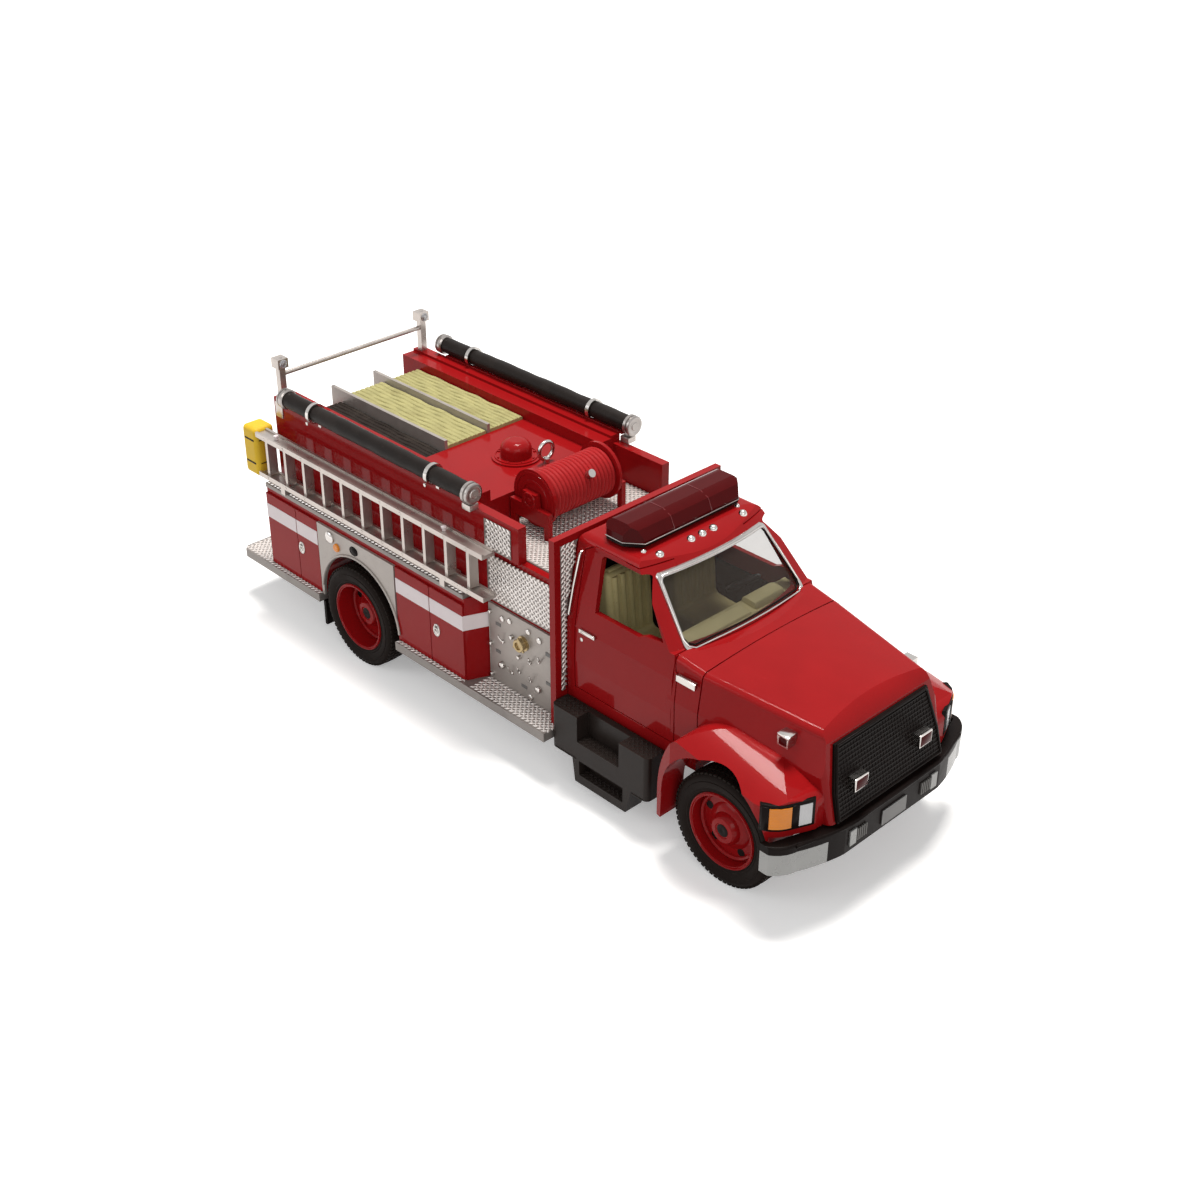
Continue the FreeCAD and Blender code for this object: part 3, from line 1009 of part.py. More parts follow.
front_rim = turned("FrontRim", rim_profile(s.tyre_width, lift(2.9)), front_axle, -s.front_tyre_face)
both("front_rims", front_rim)
both("front_tyres", turned("FrontTyre", tyre_profile, front_axle, -s.front_tyre_face))
twin_width = s.tyre_width * 2 + s.twin_gap
both("rear_rims", turned("RearRim", rim_profile(twin_width, lift(4.9)), rear_axle, -s.rear_tyre_face))
outer_tyre = turned("RearTyreOuter", tyre_profile, rear_axle, -s.rear_tyre_face)
inner_tyre = turned("RearTyreInner", tyre_profile, rear_axle, -s.rear_tyre_face + s.tyre_width + s.twin_gap)
node("rear_tyres", group("RearTyres", outer_tyre, mirror(outer_tyre), inner_tyre, mirror(inner_tyre)))
front_reach = s.front_tyre_face - 2.9 - 0.9
rear_reach = s.rear_tyre_face - 4.9 - 0.9
node("front_axle", rod("FrontAxle", "Y", s.axle_radius, -front_reach, front_reach,
    (front_axle, s.tyre_radius)))
node("rear_axle", rod("RearAxle", "Y", s.axle_radius, -rear_reach, rear_reach, (rear_axle, s.tyre_radius)))

# ---- build, test and write ----------------------------------------------------------------------------
doc.recompute()
for thing in doc.Objects:
    if "Invalid" in thing.State or "Error" in thing.State:
        raise ValueError("%s did not build: %s" % (thing.Name, thing.State))
for feature, body in POCKETS:
    before = feature.BaseFeature
    if before is not None and feature.Shape.Volume > before.Shape.Volume - 1e-6:
        raise ValueError("%s cuts nothing" % feature.Name)
for thing in NODES:
    shape = thing.Shape
    if shape.isNull() or not shape.isValid() or not shape.Solids:
        raise ValueError("%s has no valid solid" % thing.Label)
    shape.exportStep("parts/%s.step" % thing.Label)
print("%d pieces" % len(NODES))
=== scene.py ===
import math

import bpy
from bpy.props import FloatProperty, FloatVectorProperty, PointerProperty
from mathutils import Matrix, Vector


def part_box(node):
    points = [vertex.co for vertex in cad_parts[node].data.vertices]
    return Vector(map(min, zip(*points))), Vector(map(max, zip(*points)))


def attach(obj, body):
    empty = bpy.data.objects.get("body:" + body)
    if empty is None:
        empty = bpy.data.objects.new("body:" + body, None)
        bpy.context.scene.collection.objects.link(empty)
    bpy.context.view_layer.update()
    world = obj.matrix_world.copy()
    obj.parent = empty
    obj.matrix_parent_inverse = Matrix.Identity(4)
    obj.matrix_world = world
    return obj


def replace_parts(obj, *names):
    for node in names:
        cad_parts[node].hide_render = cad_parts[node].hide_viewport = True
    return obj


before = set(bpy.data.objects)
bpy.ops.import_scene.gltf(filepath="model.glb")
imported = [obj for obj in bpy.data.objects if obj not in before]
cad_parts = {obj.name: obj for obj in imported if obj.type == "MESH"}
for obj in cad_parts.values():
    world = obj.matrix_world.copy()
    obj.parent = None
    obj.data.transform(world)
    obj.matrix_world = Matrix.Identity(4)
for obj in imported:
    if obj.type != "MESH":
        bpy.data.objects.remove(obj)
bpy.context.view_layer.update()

bl_info = {
    "name": "Model Fire Engine",
    "version": (1, 0, 0),
    "blender": (4, 5, 0),
    "location": "3D View > Sidebar > Fire Engine",
    "description": "Finishes, fittings and a studio for a die-cast model fire engine",
    "category": "Object",
}

MM = 0.001


# ---- sizes and colours a user would change ------------------------------------------------------

def colour(name, description, value):
    return FloatVectorProperty(name=name, description=description, default=value, size=3,
                               subtype="COLOR", min=0.0, max=1.0)


def length(name, description, value):
    return FloatProperty(name=name, description=description, default=value * MM, unit="LENGTH",
                         subtype="DISTANCE", min=0.0)


class EngineColours(bpy.types.PropertyGroup):
    red: colour("Enamel", "Deep red enamel of the cab and body", (0.285, 0.0062, 0.0075))
    silver: colour("Silver", "Silver paint of the panels", (0.36, 0.325, 0.30))
    bright_silver: colour("Raised tread", "Rubbed tops of the tread plate", (0.78, 0.73, 0.70))
    tread_base: colour("Tread plate", "Darker silver between the raised tread", (0.25, 0.225, 0.21))
    ladder: colour("Ladder", "Duller silver of the ladder", (0.46, 0.415, 0.385))
    chrome: colour("Chrome", "Bright plated trim", (0.50, 0.475, 0.455))
    black: colour("Black", "Black mouldings", (0.0075, 0.0048, 0.0042))
    rubber: colour("Rubber", "Tyres", (0.011, 0.0075, 0.0062))
    suction: colour("Suction hose", "Black of the suction hoses", (0.012, 0.009, 0.0078))
    cream: colour("Hose cream", "Cream hose loads", (0.40, 0.37, 0.17))
    seat: colour("Seat", "Cream cab mouldings", (0.50, 0.44, 0.215))
    yellow: colour("Pad", "Yellow end pad of the ladder", (0.74, 0.48, 0.03))
    stripe: colour("Stripe", "White reflective stripe", (0.80, 0.72, 0.73))


class EngineSizes(bpy.types.PropertyGroup):
    tread_pitch: length("Tread pitch", "Spacing of the raised tread", 1.25)
    tread_rise: length("Tread rise", "Height of the raised tread", 0.14)
    stripe_low: length("Stripe foot", "Height of the lower edge of the white stripe", 24.6)
    stripe_high: length("Stripe head", "Height of the upper edge of the white stripe", 28.2)


# ---- places in millimetres ------------------------------------------------------------------------

REAR_AXLE = sum(corner.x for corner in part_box("rear_tyres")) / 2 / MM
AXES = {"X": (1, 0, 0), "Y": (0, 1, 0), "Z": (0, 0, 1)}


def at(station):
    """Millimetres along the model from a station measured from the rear axle."""
    return REAR_AXLE + station


def along(*places):
    """Places whose first number is a station."""
    return [(at(station), *rest) for station, *rest in places]


def millimetres(corners):
    """The low and high corners of a frame box, in millimetres."""
    return [corner / MM for corner in corners]


# ---- small modelling tools ------------------------------------------------------------------------

def deselect():
    """Leaves edit mode with nothing selected."""
    if bpy.context.object and bpy.context.object.mode != "OBJECT":
        bpy.ops.object.mode_set(mode="OBJECT")
    bpy.ops.object.select_all(action="DESELECT")


def open_mesh():
    """Goes into edit mode on the active piece, with all of it selected."""
    bpy.ops.object.mode_set(mode="EDIT")
    bpy.ops.mesh.select_all(action="SELECT")


def close_mesh():
    """Goes back to object mode."""
    bpy.ops.object.mode_set(mode="OBJECT")


def pick(obj):
    """Makes one piece the only selected and active one."""
    deselect()
    obj.select_set(True)
    bpy.context.view_layer.objects.active = obj
    return obj


def settle(obj):
    """Applies the object's place, turn and size to its mesh."""
    pick(obj)
    bpy.ops.object.transform_apply(location=True, rotation=True, scale=True)
    return obj


def modified(obj, kind, **settings):
    """Adds one modifier and applies it."""
    pick(obj)
    added = obj.modifiers.new("Shape", kind)
    for name, value in settings.items():
        setattr(added, name, value)
    bpy.ops.object.modifier_apply(modifier=added.name)
    return obj


def rounded(obj, width, steps=2):
    """Rounds the sharp edges."""
    return modified(obj, "BEVEL", width=width * MM, segments=steps, limit_method="ANGLE", angle_limit=0.6)


def block(x, y, z, soft=0.2, steps=2):
    """A box between pairs of places, with rounded edges."""
    deselect()
    bpy.ops.mesh.primitive_cube_add(size=1.0, location=[(a + b) / 2 * MM for a, b in (x, y, z)],
                                    scale=[abs(b - a) * MM for a, b in (x, y, z)])
    return rounded(settle(bpy.context.object), soft, steps)


def traced(points, closed=False):
    """A line of edges through places, extruded from one corner to the next."""
    deselect()
    bpy.ops.mesh.primitive_plane_add(size=MM, location=[v * MM for v in points[0]])
    obj = settle(bpy.context.object)
    open_mesh()
    bpy.ops.mesh.merge(type="CENTER")
    for before, after in zip(points, points[1:]):
        bpy.ops.mesh.extrude_region_move(TRANSFORM_OT_translate={
            "value": [(b - a) * MM for a, b in zip(before, after)]})
    if closed:
        bpy.ops.mesh.select_all(action="SELECT")
        bpy.ops.mesh.edge_face_add()
    close_mesh()
    return obj


def plate(outline, plane, low, high, soft=0.0, steps=2):
    """A flat outline on a plane, drawn out from one level to another."""
    place = {"XY": lambda u, v: (u, v, low), "XZ": lambda u, v: (u, low, v), "YZ": lambda u,
             v: (low, u, v)}[plane]
    out = {"XY": (0, 0, 1), "XZ": (0, 1, 0), "YZ": (1, 0, 0)}[plane]
    obj = traced([place(u, v) for u, v in outline], True)
    open_mesh()
    bpy.ops.mesh.extrude_region_move(TRANSFORM_OT_translate={"value": [c * (high - low) * MM for c in out]})
    bpy.ops.mesh.select_all(action="SELECT")
    bpy.ops.mesh.normals_make_consistent(inside=False)
    close_mesh()
    return rounded(obj, soft, steps) if soft else obj


def turned(profile, axis, centre, steps=32):
    """Spins a profile of (along, radius) places round an axis through a centre."""
    aside = {"X": 2, "Y": 2, "Z": 0}[axis]
    line = []
    for along, radius in profile:
        place = list(centre)
        place["XYZ".index(axis)] += along
        place[aside] += radius
        line.append(place)
    obj = traced(line)
    open_mesh()
    bpy.ops.mesh.spin(steps=steps, angle=2 * math.pi, center=[v * MM for v in centre], axis=AXES[axis])
    close_mesh()
    return obj


def wire(points, radius, bend=0.0, sides=3):
    """A round rod through places, its corners bent round."""
    obj = traced(points)
    if bend:
        open_mesh()
        bpy.ops.mesh.bevel(offset=bend * MM, segments=4, affect="VERTICES")
        close_mesh()
    pick(obj)
    bpy.ops.object.convert(target="CURVE")
    obj.data.bevel_depth, obj.data.bevel_resolution, obj.data.use_fill_caps = radius * MM, sides, True
    bpy.ops.object.convert(target="MESH")
    return bpy.context.object


def stud(base, profile, axis, centre, steps=32):
    """A turned button on a base level, its profile as (out, radius) places from there."""
    return turned([(base + out, radius) for out, radius in profile], axis, centre, steps)


def copied(obj, move=(0, 0, 0)):
    """A copy with its own mesh, moved by millimetres."""
    pick(obj)
    bpy.ops.object.duplicate(linked=False)
    bpy.ops.transform.translate(value=[v * MM for v in move])
    return settle(bpy.context.object)


def mirrored(obj):
    """A copy on the other side of the model."""
    made = copied(obj)
    made.scale.y = -1
    settle(made)
    return tidied(made)


def tidied(obj):
    """Merges doubles and points the faces outwards."""
    pick(obj)
    open_mesh()
    bpy.ops.mesh.remove_doubles(threshold=0.000002)
    bpy.ops.mesh.normals_make_consistent(inside=False)
    close_mesh()
    return obj


def joined(parts):
    """Joins pieces into the first of them."""
    deselect()
    for part in parts:
        part.select_set(True)
    bpy.context.view_layer.objects.active = parts[0]
    if len(parts) > 1:
        bpy.ops.object.join()
    return bpy.context.view_layer.objects.active


def both_sides(parts):
    """The parts, and their mirror images on the other side."""
    return parts + [mirrored(part) for part in parts]


def piece(name, parts, finish_name, body="model", angle=35.0):
    """Joins its parts into one named, finished piece that moves with a body."""
    obj = tidied(joined(parts))
    obj.name = obj.data.name = name
    bpy.ops.object.shade_smooth_by_angle(angle=math.radians(angle))
    dress(obj, MADE[finish_name])
    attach(obj, body)
    return obj


# ---- shader tools ------------------------------------------------------------------------------------

def shade_node(tree, kind, **settings):
    """One shader node with its settings."""
    made = tree.nodes.new(kind)
    for name, value in settings.items():
        setattr(made, name, value)
    return made


def maths(tree, operation, first, second=None, third=None):
    """A maths node fed with numbers or sockets."""
    made = shade_node(tree, "ShaderNodeMath", operation=operation)
    for slot, value in enumerate((first, second, third)):
        if value is None:
            continue
        if isinstance(value, (int, float)):
            made.inputs[slot].default_value = value
        else:
            tree.links.new(value, made.inputs[slot])
    return made.outputs[0]


def ramp(tree, value, low, high, start=0.0, end=1.0):
    """Maps a value from one range to another with soft ends."""
    made = shade_node(tree, "ShaderNodeMapRange", interpolation_type="SMOOTHSTEP")
    tree.links.new(value, made.inputs["Value"])
    for label, number in (("From Min", low), ("From Max", high), ("To Min", start), ("To Max", end)):
        made.inputs[label].default_value = number
    return made.outputs[0]


def new_group(name, inputs, outputs):
    """A shader node group with named sockets; each input is name, kind and value."""
    tree = bpy.data.node_groups.new(name, "ShaderNodeTree")
    for label, kind, value in inputs:
        socket = tree.interface.new_socket(name=label, in_out="INPUT", socket_type="NodeSocket" + kind)
        if value is not None:
            socket.default_value = value
    for label, kind in outputs:
        tree.interface.new_socket(name=label, in_out="OUTPUT", socket_type="NodeSocket" + kind)
    return tree, tree.nodes.new("NodeGroupInput"), tree.nodes.new("NodeGroupOutput")


def grain_group():
    """Broad mottling about one half, and a fine grain for the bump."""
    tree, start, end = new_group("Surface Grain", [("Vector", "Vector", None), ("Scale", "Float", 400.0),
                                                   ("Detail", "Float", 3.0)],
                                 [("Value", "Float"), ("Fine", "Float")])
    for scale, detail, output in ((1.0, 1.0, "Value"), (6.0, 0.6, "Fine")):
        noise = shade_node(tree, "ShaderNodeTexNoise")
        tree.links.new(start.outputs["Vector"], noise.inputs["Vector"])
        tree.links.new(maths(tree, "MULTIPLY", start.outputs["Scale"], scale), noise.inputs["Scale"])
        tree.links.new(maths(tree, "MULTIPLY", start.outputs["Detail"], detail), noise.inputs["Detail"])
        tree.links.new(noise.outputs["Fac"], end.inputs[output])
    return tree


def wear_group():
    """Scattered rubbed patches and specks, as a mask from nought to one."""
    tree, start, end = new_group("Worn Patches", [("Vector", "Vector", None), ("Scale", "Float", 90.0),
                                                  ("Amount", "Float", 0.3)], [("Mask", "Float")])
    broad = shade_node(tree, "ShaderNodeTexNoise")
    specks = shade_node(tree, "ShaderNodeTexNoise")
    for noise, times, detail in ((broad, 1.0, 4.0), (specks, 17.0, 2.0)):
        tree.links.new(start.outputs["Vector"], noise.inputs["Vector"])
        tree.links.new(maths(tree, "MULTIPLY", start.outputs["Scale"], times), noise.inputs["Scale"])
        noise.inputs["Detail"].default_value = detail
    patches = ramp(tree, broad.outputs["Fac"], 0.50, 0.72)
    dots = ramp(tree, specks.outputs["Fac"], 0.66, 0.74)
    both = maths(tree, "MAXIMUM", maths(tree, "MULTIPLY", patches, 0.6), dots)
    tree.links.new(maths(tree, "MULTIPLY", both, start.outputs["Amount"]), end.inputs["Mask"])
    return tree


def drift_group():
    """Lets a colour wander a little darker and lighter, and towards a second colour where it is worn."""
    tree, start, end = new_group("Colour Drift", [("Colour", "Color", (0.5, 0.5, 0.5, 1.0)),
                                                  ("Worn", "Color", (0.5, 0.5, 0.5, 1.0)),
                                                  ("Value", "Float", 0.5), ("Amount", "Float", 0.1),
                                                  ("Mask", "Float", 0.0)], [("Colour", "Color")])
    spread = maths(tree, "MULTIPLY_ADD", maths(tree, "SUBTRACT", start.outputs["Value"], 0.5),
                   start.outputs["Amount"], 1.0)
    scaled = shade_node(tree, "ShaderNodeVectorMath", operation="SCALE")
    tree.links.new(start.outputs["Colour"], scaled.inputs[0])
    tree.links.new(spread, scaled.inputs["Scale"])
    mix = shade_node(tree, "ShaderNodeMix", data_type="RGBA")
    tree.links.new(start.outputs["Mask"], mix.inputs["Factor"])
    tree.links.new(scaled.outputs[0], mix.inputs["A"])
    tree.links.new(start.outputs["Worn"], mix.inputs["B"])
    tree.links.new(mix.outputs["Result"], end.inputs["Colour"])
    return tree


def rib_group():
    """Even round ribs along one coordinate."""
    tree, start, end = new_group("Ribs", [("Along", "Float", 0.0), ("Pitch", "Float", 0.001)],
                                 [("Height", "Float")])
    phase = maths(tree, "MULTIPLY", maths(tree, "DIVIDE", start.outputs["Along"], start.outputs["Pitch"]),
                  2 * math.pi)
    tree.links.new(maths(tree, "MULTIPLY_ADD", maths(tree, "COSINE", phase), 0.5, 0.5), end.inputs["Height"])
    return tree


def weave_group():
    """Crossed threads on two coordinates, as on a woven hose jacket."""
    tree, start, end = new_group("Woven Jacket", [("U", "Float", 0.0), ("V", "Float", 0.0),
                                                  ("Pitch", "Float", 0.0004)], [("Height", "Float")])
    waves = []
    for side in ("U", "V"):
        phase = maths(tree, "MULTIPLY", maths(tree, "DIVIDE", start.outputs[side], start.outputs["Pitch"]),
                      math.pi)
        waves.append(maths(tree, "ABSOLUTE", maths(tree, "SINE", phase)))
    tree.links.new(maths(tree, "MULTIPLY", waves[0], waves[1]), end.inputs["Height"])
    return tree


GROUPS = {}
GROUP_MAKERS = {"Surface Grain": grain_group, "Colour Drift": drift_group, "Worn Patches": wear_group,
                "Ribs": rib_group, "Woven Jacket": weave_group}


def group_node(tree, name):
    """Places a shared group in a material, making the group the first time."""
    if name not in GROUPS:
        GROUPS[name] = GROUP_MAKERS[name]()
    made = tree.nodes.new("ShaderNodeGroup")
    made.node_tree = GROUPS[name]
    return made


def finish(name, base, rough=0.4, spread=0.1, metal=0.0, coat=0.0, drift=0.12, scale=350.0, bump=0.05, fine=0.3,
           ribs=None, weave=None, alpha=1.0, specular=0.5, worn=None, wear=0.0,
           wear_scale=90.0, coat_index=1.5):
    """One painted, plated or moulded finish. ribs and weave name the coordinates that they follow."""
    made = bpy.data.materials.new(name)
    made.use_nodes = True
    tree = made.node_tree
    shader = tree.nodes["Principled BSDF"]
    where = shade_node(tree, "ShaderNodeTexCoord")
    grain = group_node(tree, "Surface Grain")
    tree.links.new(where.outputs["Object"], grain.inputs["Vector"])
    grain.inputs["Scale"].default_value = scale
    mixed = group_node(tree, "Colour Drift")
    mixed.inputs["Colour"].default_value = (*base, 1.0)
    mixed.inputs["Worn"].default_value = (*(worn or [min(1.0, c * 1.5) for c in base]), 1.0)
    mixed.inputs["Amount"].default_value = drift * 2
    tree.links.new(grain.outputs["Value"], mixed.inputs["Value"])
    patches = group_node(tree, "Worn Patches")
    tree.links.new(where.outputs["Object"], patches.inputs["Vector"])
    patches.inputs["Scale"].default_value = wear_scale
    patches.inputs["Amount"].default_value = wear
    tree.links.new(patches.outputs["Mask"], mixed.inputs["Mask"])
    rough_out = maths(tree, "MULTIPLY_ADD", maths(tree, "SUBTRACT", grain.outputs["Value"], 0.5), spread * 2,
                      rough)
    rough_out = maths(tree, "MULTIPLY_ADD", patches.outputs["Mask"], 0.25, rough_out)
    height = maths(tree, "MULTIPLY", grain.outputs["Fine"], fine)
    if ribs or weave:
        place = shade_node(tree, "ShaderNodeSeparateXYZ")
        tree.links.new(where.outputs["Object"], place.inputs[0])
    if ribs:
        ring = group_node(tree, "Ribs")
        tree.links.new(place.outputs[ribs[0]], ring.inputs["Along"])
        ring.inputs["Pitch"].default_value = ribs[1]
        height = maths(tree, "ADD", height, maths(tree, "MULTIPLY", ring.outputs["Height"], ribs[2]))
    if weave:
        cloth = group_node(tree, "Woven Jacket")
        tree.links.new(place.outputs[weave[0]], cloth.inputs["U"])
        tree.links.new(place.outputs[weave[1]], cloth.inputs["V"])
        cloth.inputs["Pitch"].default_value = weave[2]
        height = maths(tree, "ADD", height, maths(tree, "MULTIPLY", cloth.outputs["Height"], weave[3]))
    raised = shade_node(tree, "ShaderNodeBump")
    raised.inputs["Strength"].default_value = bump
    raised.inputs["Distance"].default_value = 0.06 * MM
    tree.links.new(height, raised.inputs["Height"])
    tree.links.new(mixed.outputs["Colour"], shader.inputs["Base Color"])
    tree.links.new(rough_out, shader.inputs["Roughness"])
    tree.links.new(raised.outputs[0], shader.inputs["Normal"])
    shader.inputs["Metallic"].default_value = metal
    shader.inputs["Coat Weight"].default_value = coat
    shader.inputs["Coat Roughness"].default_value = 0.05
    shader.inputs["Coat IOR"].default_value = coat_index
    shader.inputs["Alpha"].default_value = alpha
    shader.inputs["Transmission Weight"].default_value = 0.0
    shader.inputs["Specular IOR Level"].default_value = specular
    made.diffuse_color = (*base, 1.0)
    return made


def dress(obj, made):
    """Gives a piece its one material."""
    obj.data.materials.clear()
    obj.data.materials.append(made)


# ---- operators -----------------------------------------------------------------------------------------

MADE = {}


class ENGINE_OT_finishes(bpy.types.Operator):
    """Gives each piece of the frame its paint, plating, moulding, rubber or glass"""
    bl_idname = "engine.finishes"
    bl_label = "Finishes"

    def execute(self, context):
        c = context.scene.engine_colours
        MADE.update({
            "enamel": finish("Red enamel", c.red, 0.36, 0.05, coat=0.45, coat_index=1.27, drift=0.10,
                             scale=140.0, bump=0.10,
                             fine=0.25, specular=0.02, wear=0.10, wear_scale=60.0),
            "tread": finish("Raised tread", c.bright_silver, 0.30, 0.08, metal=0.35, bump=0.1, wear=0.25,
                            worn=(0.30, 0.27, 0.25)),
            "tread_base": finish("Tread plate", c.tread_base, 0.42, 0.10, metal=0.35, bump=0.2, specular=0.2,
                                 wear=0.4,
                                 worn=(0.09, 0.075, 0.068)),
            "silver": finish("Silver panel", c.silver, 0.38, 0.10, metal=0.35, bump=0.15, specular=0.25,
                             wear=0.25,
                             worn=(0.20, 0.17, 0.155)),
            "chrome": finish("Chrome", c.chrome, 0.20, 0.08, metal=1.0, drift=0.10, bump=0.05, wear=0.3,
                             worn=(0.22, 0.20, 0.18)),
            "brass": finish("Brass", (0.36, 0.27, 0.14), 0.30, 0.10, metal=0.8, bump=0.10, wear=0.5,
                            worn=(0.12, 0.08, 0.04)),
            "ladder": finish("Ladder silver", c.ladder, 0.30, 0.10, metal=0.75, bump=0.15, specular=0.3,
                             wear=0.3,
                             worn=(0.16, 0.13, 0.12)),
            "black": finish("Black moulding", c.black, 0.36, 0.10, bump=0.25, fine=0.6, specular=0.05,
                            wear=0.06,
                            worn=(0.05, 0.040, 0.036)),
            "rubber": finish("Rubber", c.rubber, 0.60, 0.10, bump=0.3, fine=0.6, specular=0.05, wear=0.25,
                             worn=(0.024, 0.018, 0.015)),
            "cream": finish("Cream hose", c.cream, 0.75, 0.08, drift=0.25, bump=0.5,
                            weave=("X", "Y", 0.00032, 1.2),
                            specular=0.1, wear=0.5, worn=(0.20, 0.16, 0.07), wear_scale=160.0),
            "dark_hose": finish("Dark hose", (0.024, 0.018, 0.015), 0.8, 0.1, drift=0.4, bump=0.6,
                                scale=700.0, fine=1.2,
                                weave=("X", "Y", 0.00032, 1.0), specular=0.12, wear=0.5,
                                worn=(0.085, 0.07, 0.058),
                                wear_scale=200.0),
            "suction": finish("Suction hose", c.suction, 0.44, 0.12, drift=0.3, bump=0.35, specular=0.09,
                              wear=0.4,
                              worn=(0.040, 0.032, 0.028), wear_scale=140.0),
            "reel_hose": finish("Red hose", (0.38, 0.020, 0.022), 0.42, 0.08, bump=0.25, specular=0.05,
                                wear=0.2,
                                worn=(0.45, 0.06, 0.06)),
            "seat": finish("Cream moulding", c.seat, 0.5, 0.08, bump=0.2, specular=0.2, wear=0.3,
                           worn=(0.20, 0.16, 0.07)),
            "yellow": finish("Yellow pad", c.yellow, 0.48, 0.08, bump=0.25, specular=0.2, wear=0.3,
                             worn=(0.50, 0.30, 0.03)),
            # The dash is the seats' cream painted lighter: painted light where it sits in the light behind the
            # glass.
            "dash": finish("Dashboard cream painted lit", (0.74, 0.67, 0.36), 0.5, 0.08, bump=0.2, specular=0.1,
                           wear=0.2,
                           worn=(0.40, 0.34, 0.16)),
            "cap": finish("Cap plating", (0.33, 0.305, 0.29), 0.30, 0.10, metal=0.9, drift=0.15, bump=0.10,
                          wear=0.4,
                          worn=(0.16, 0.145, 0.135)),
            "step": finish("Step moulding", (0.020, 0.0145, 0.0125), 0.34, 0.10, bump=0.25, fine=0.6,
                           specular=0.10, wear=0.15,
                           worn=(0.05, 0.040, 0.036)),
            "glass": finish("Glazing", (0.045, 0.036, 0.030), 0.04, 0.01, drift=0.10, bump=0.01, alpha=0.34,
                            specular=0.25),
            "lens": finish("Red lens", (0.070, 0.0028, 0.0035), 0.20, 0.05, coat=0.25, coat_index=1.25,
                           bump=0.10,
                           specular=0.02),
            "tail": finish("Tail lens", (0.28, 0.010, 0.010), 0.2, 0.04, coat=0.5, bump=0.4,
                           ribs=("Z", 0.0005, 1.0),
                           specular=0.2),
            "amber": finish("Amber lens", (0.78, 0.24, 0.012), 0.25, 0.06, coat=0.3, bump=0.4,
                            ribs=("Z", 0.0006, 0.8),
                            specular=0.2),
            "lamp": finish("Silvered lamp", (0.40, 0.40, 0.41), 0.24, 0.06, metal=0.4, bump=0.4,
                           ribs=("Y", 0.0005, 1.0)),
            "steel": finish("Steel", (0.35, 0.34, 0.33), 0.35, 0.08, metal=1.0),
            "plate": finish("Blank plate", (0.13, 0.125, 0.12), 0.4, 0.08, bump=0.15, wear=0.3,
                            worn=(0.05, 0.045, 0.04)),
            "stripe": finish("Reflective stripe", c.stripe, 0.42, 0.08, bump=0.12, drift=0.06, specular=0.2,
                             wear=0.15,
                             worn=(0.45, 0.36, 0.36)),
            "worn": finish("Worn grip", (0.10, 0.095, 0.09), 0.5, 0.1, metal=0.3, bump=0.2, wear=0.4,
                           worn=(0.03, 0.027, 0.025)),
            # Dark brown of the cab lining: painted shade laid over the red inside of the cab.
            "interior_shade": finish("Painted cab shade", (0.016, 0.010, 0.008), 0.7, 0.08, bump=0.2, specular=0.1),
            "lens_edge": finish("Lens seam", (0.14, 0.010, 0.012), 0.2, 0.05, coat=0.2, bump=0.05,
                                specular=0.2),
            "bright": finish("Bumper silver", (0.25, 0.25, 0.245), 0.28, 0.08, metal=0.4, bump=0.1, wear=0.08,
                             worn=(0.12, 0.11, 0.10)),
        })
        wear = {
            "tread_base": "running_boards ledge_trim rear_panel diamond_panels",
            "silver": "fender_panels pump_panels bed_dividers",
            "chrome": "lifting_ring hose_caps hose_straps reel_nozzle screen_frame cab_trim roof_lamps "
                      "grille_lamps fender_lamps",
            "ladder": "ladder ladder_brackets lamp_posts",
            "step": "side_steps", "black": "chassis grille bumper mudflaps light_bar_base steering_wheel",
            "rubber": "front_tyres rear_tyres", "cream": "hose_loads", "dark_hose": "dark_hose_load",
            "suction": "suction_hoses",
            "reel_hose": "reel_hose", "seat": "cab_seats", "dash": "dashboard", "yellow": "ladder_pad",
            "glass": "windscreen",
            "lens": "light_bar_lens", "tail": "tail_lamps", "amber": "turn_lamps", "lamp": "headlamps",
            "steel": "front_axle rear_axle", "plate": "number_plate", "bright": "bumper_ends",
        }
        worn = {node: key for key, nodes in wear.items() for node in nodes.split()}
        for node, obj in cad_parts.items():
            dress(obj, MADE[worn.get(node, "enamel")])
        return {"FINISHED"}


# ---- tread plate -----------------------------------------------------------------------------------------

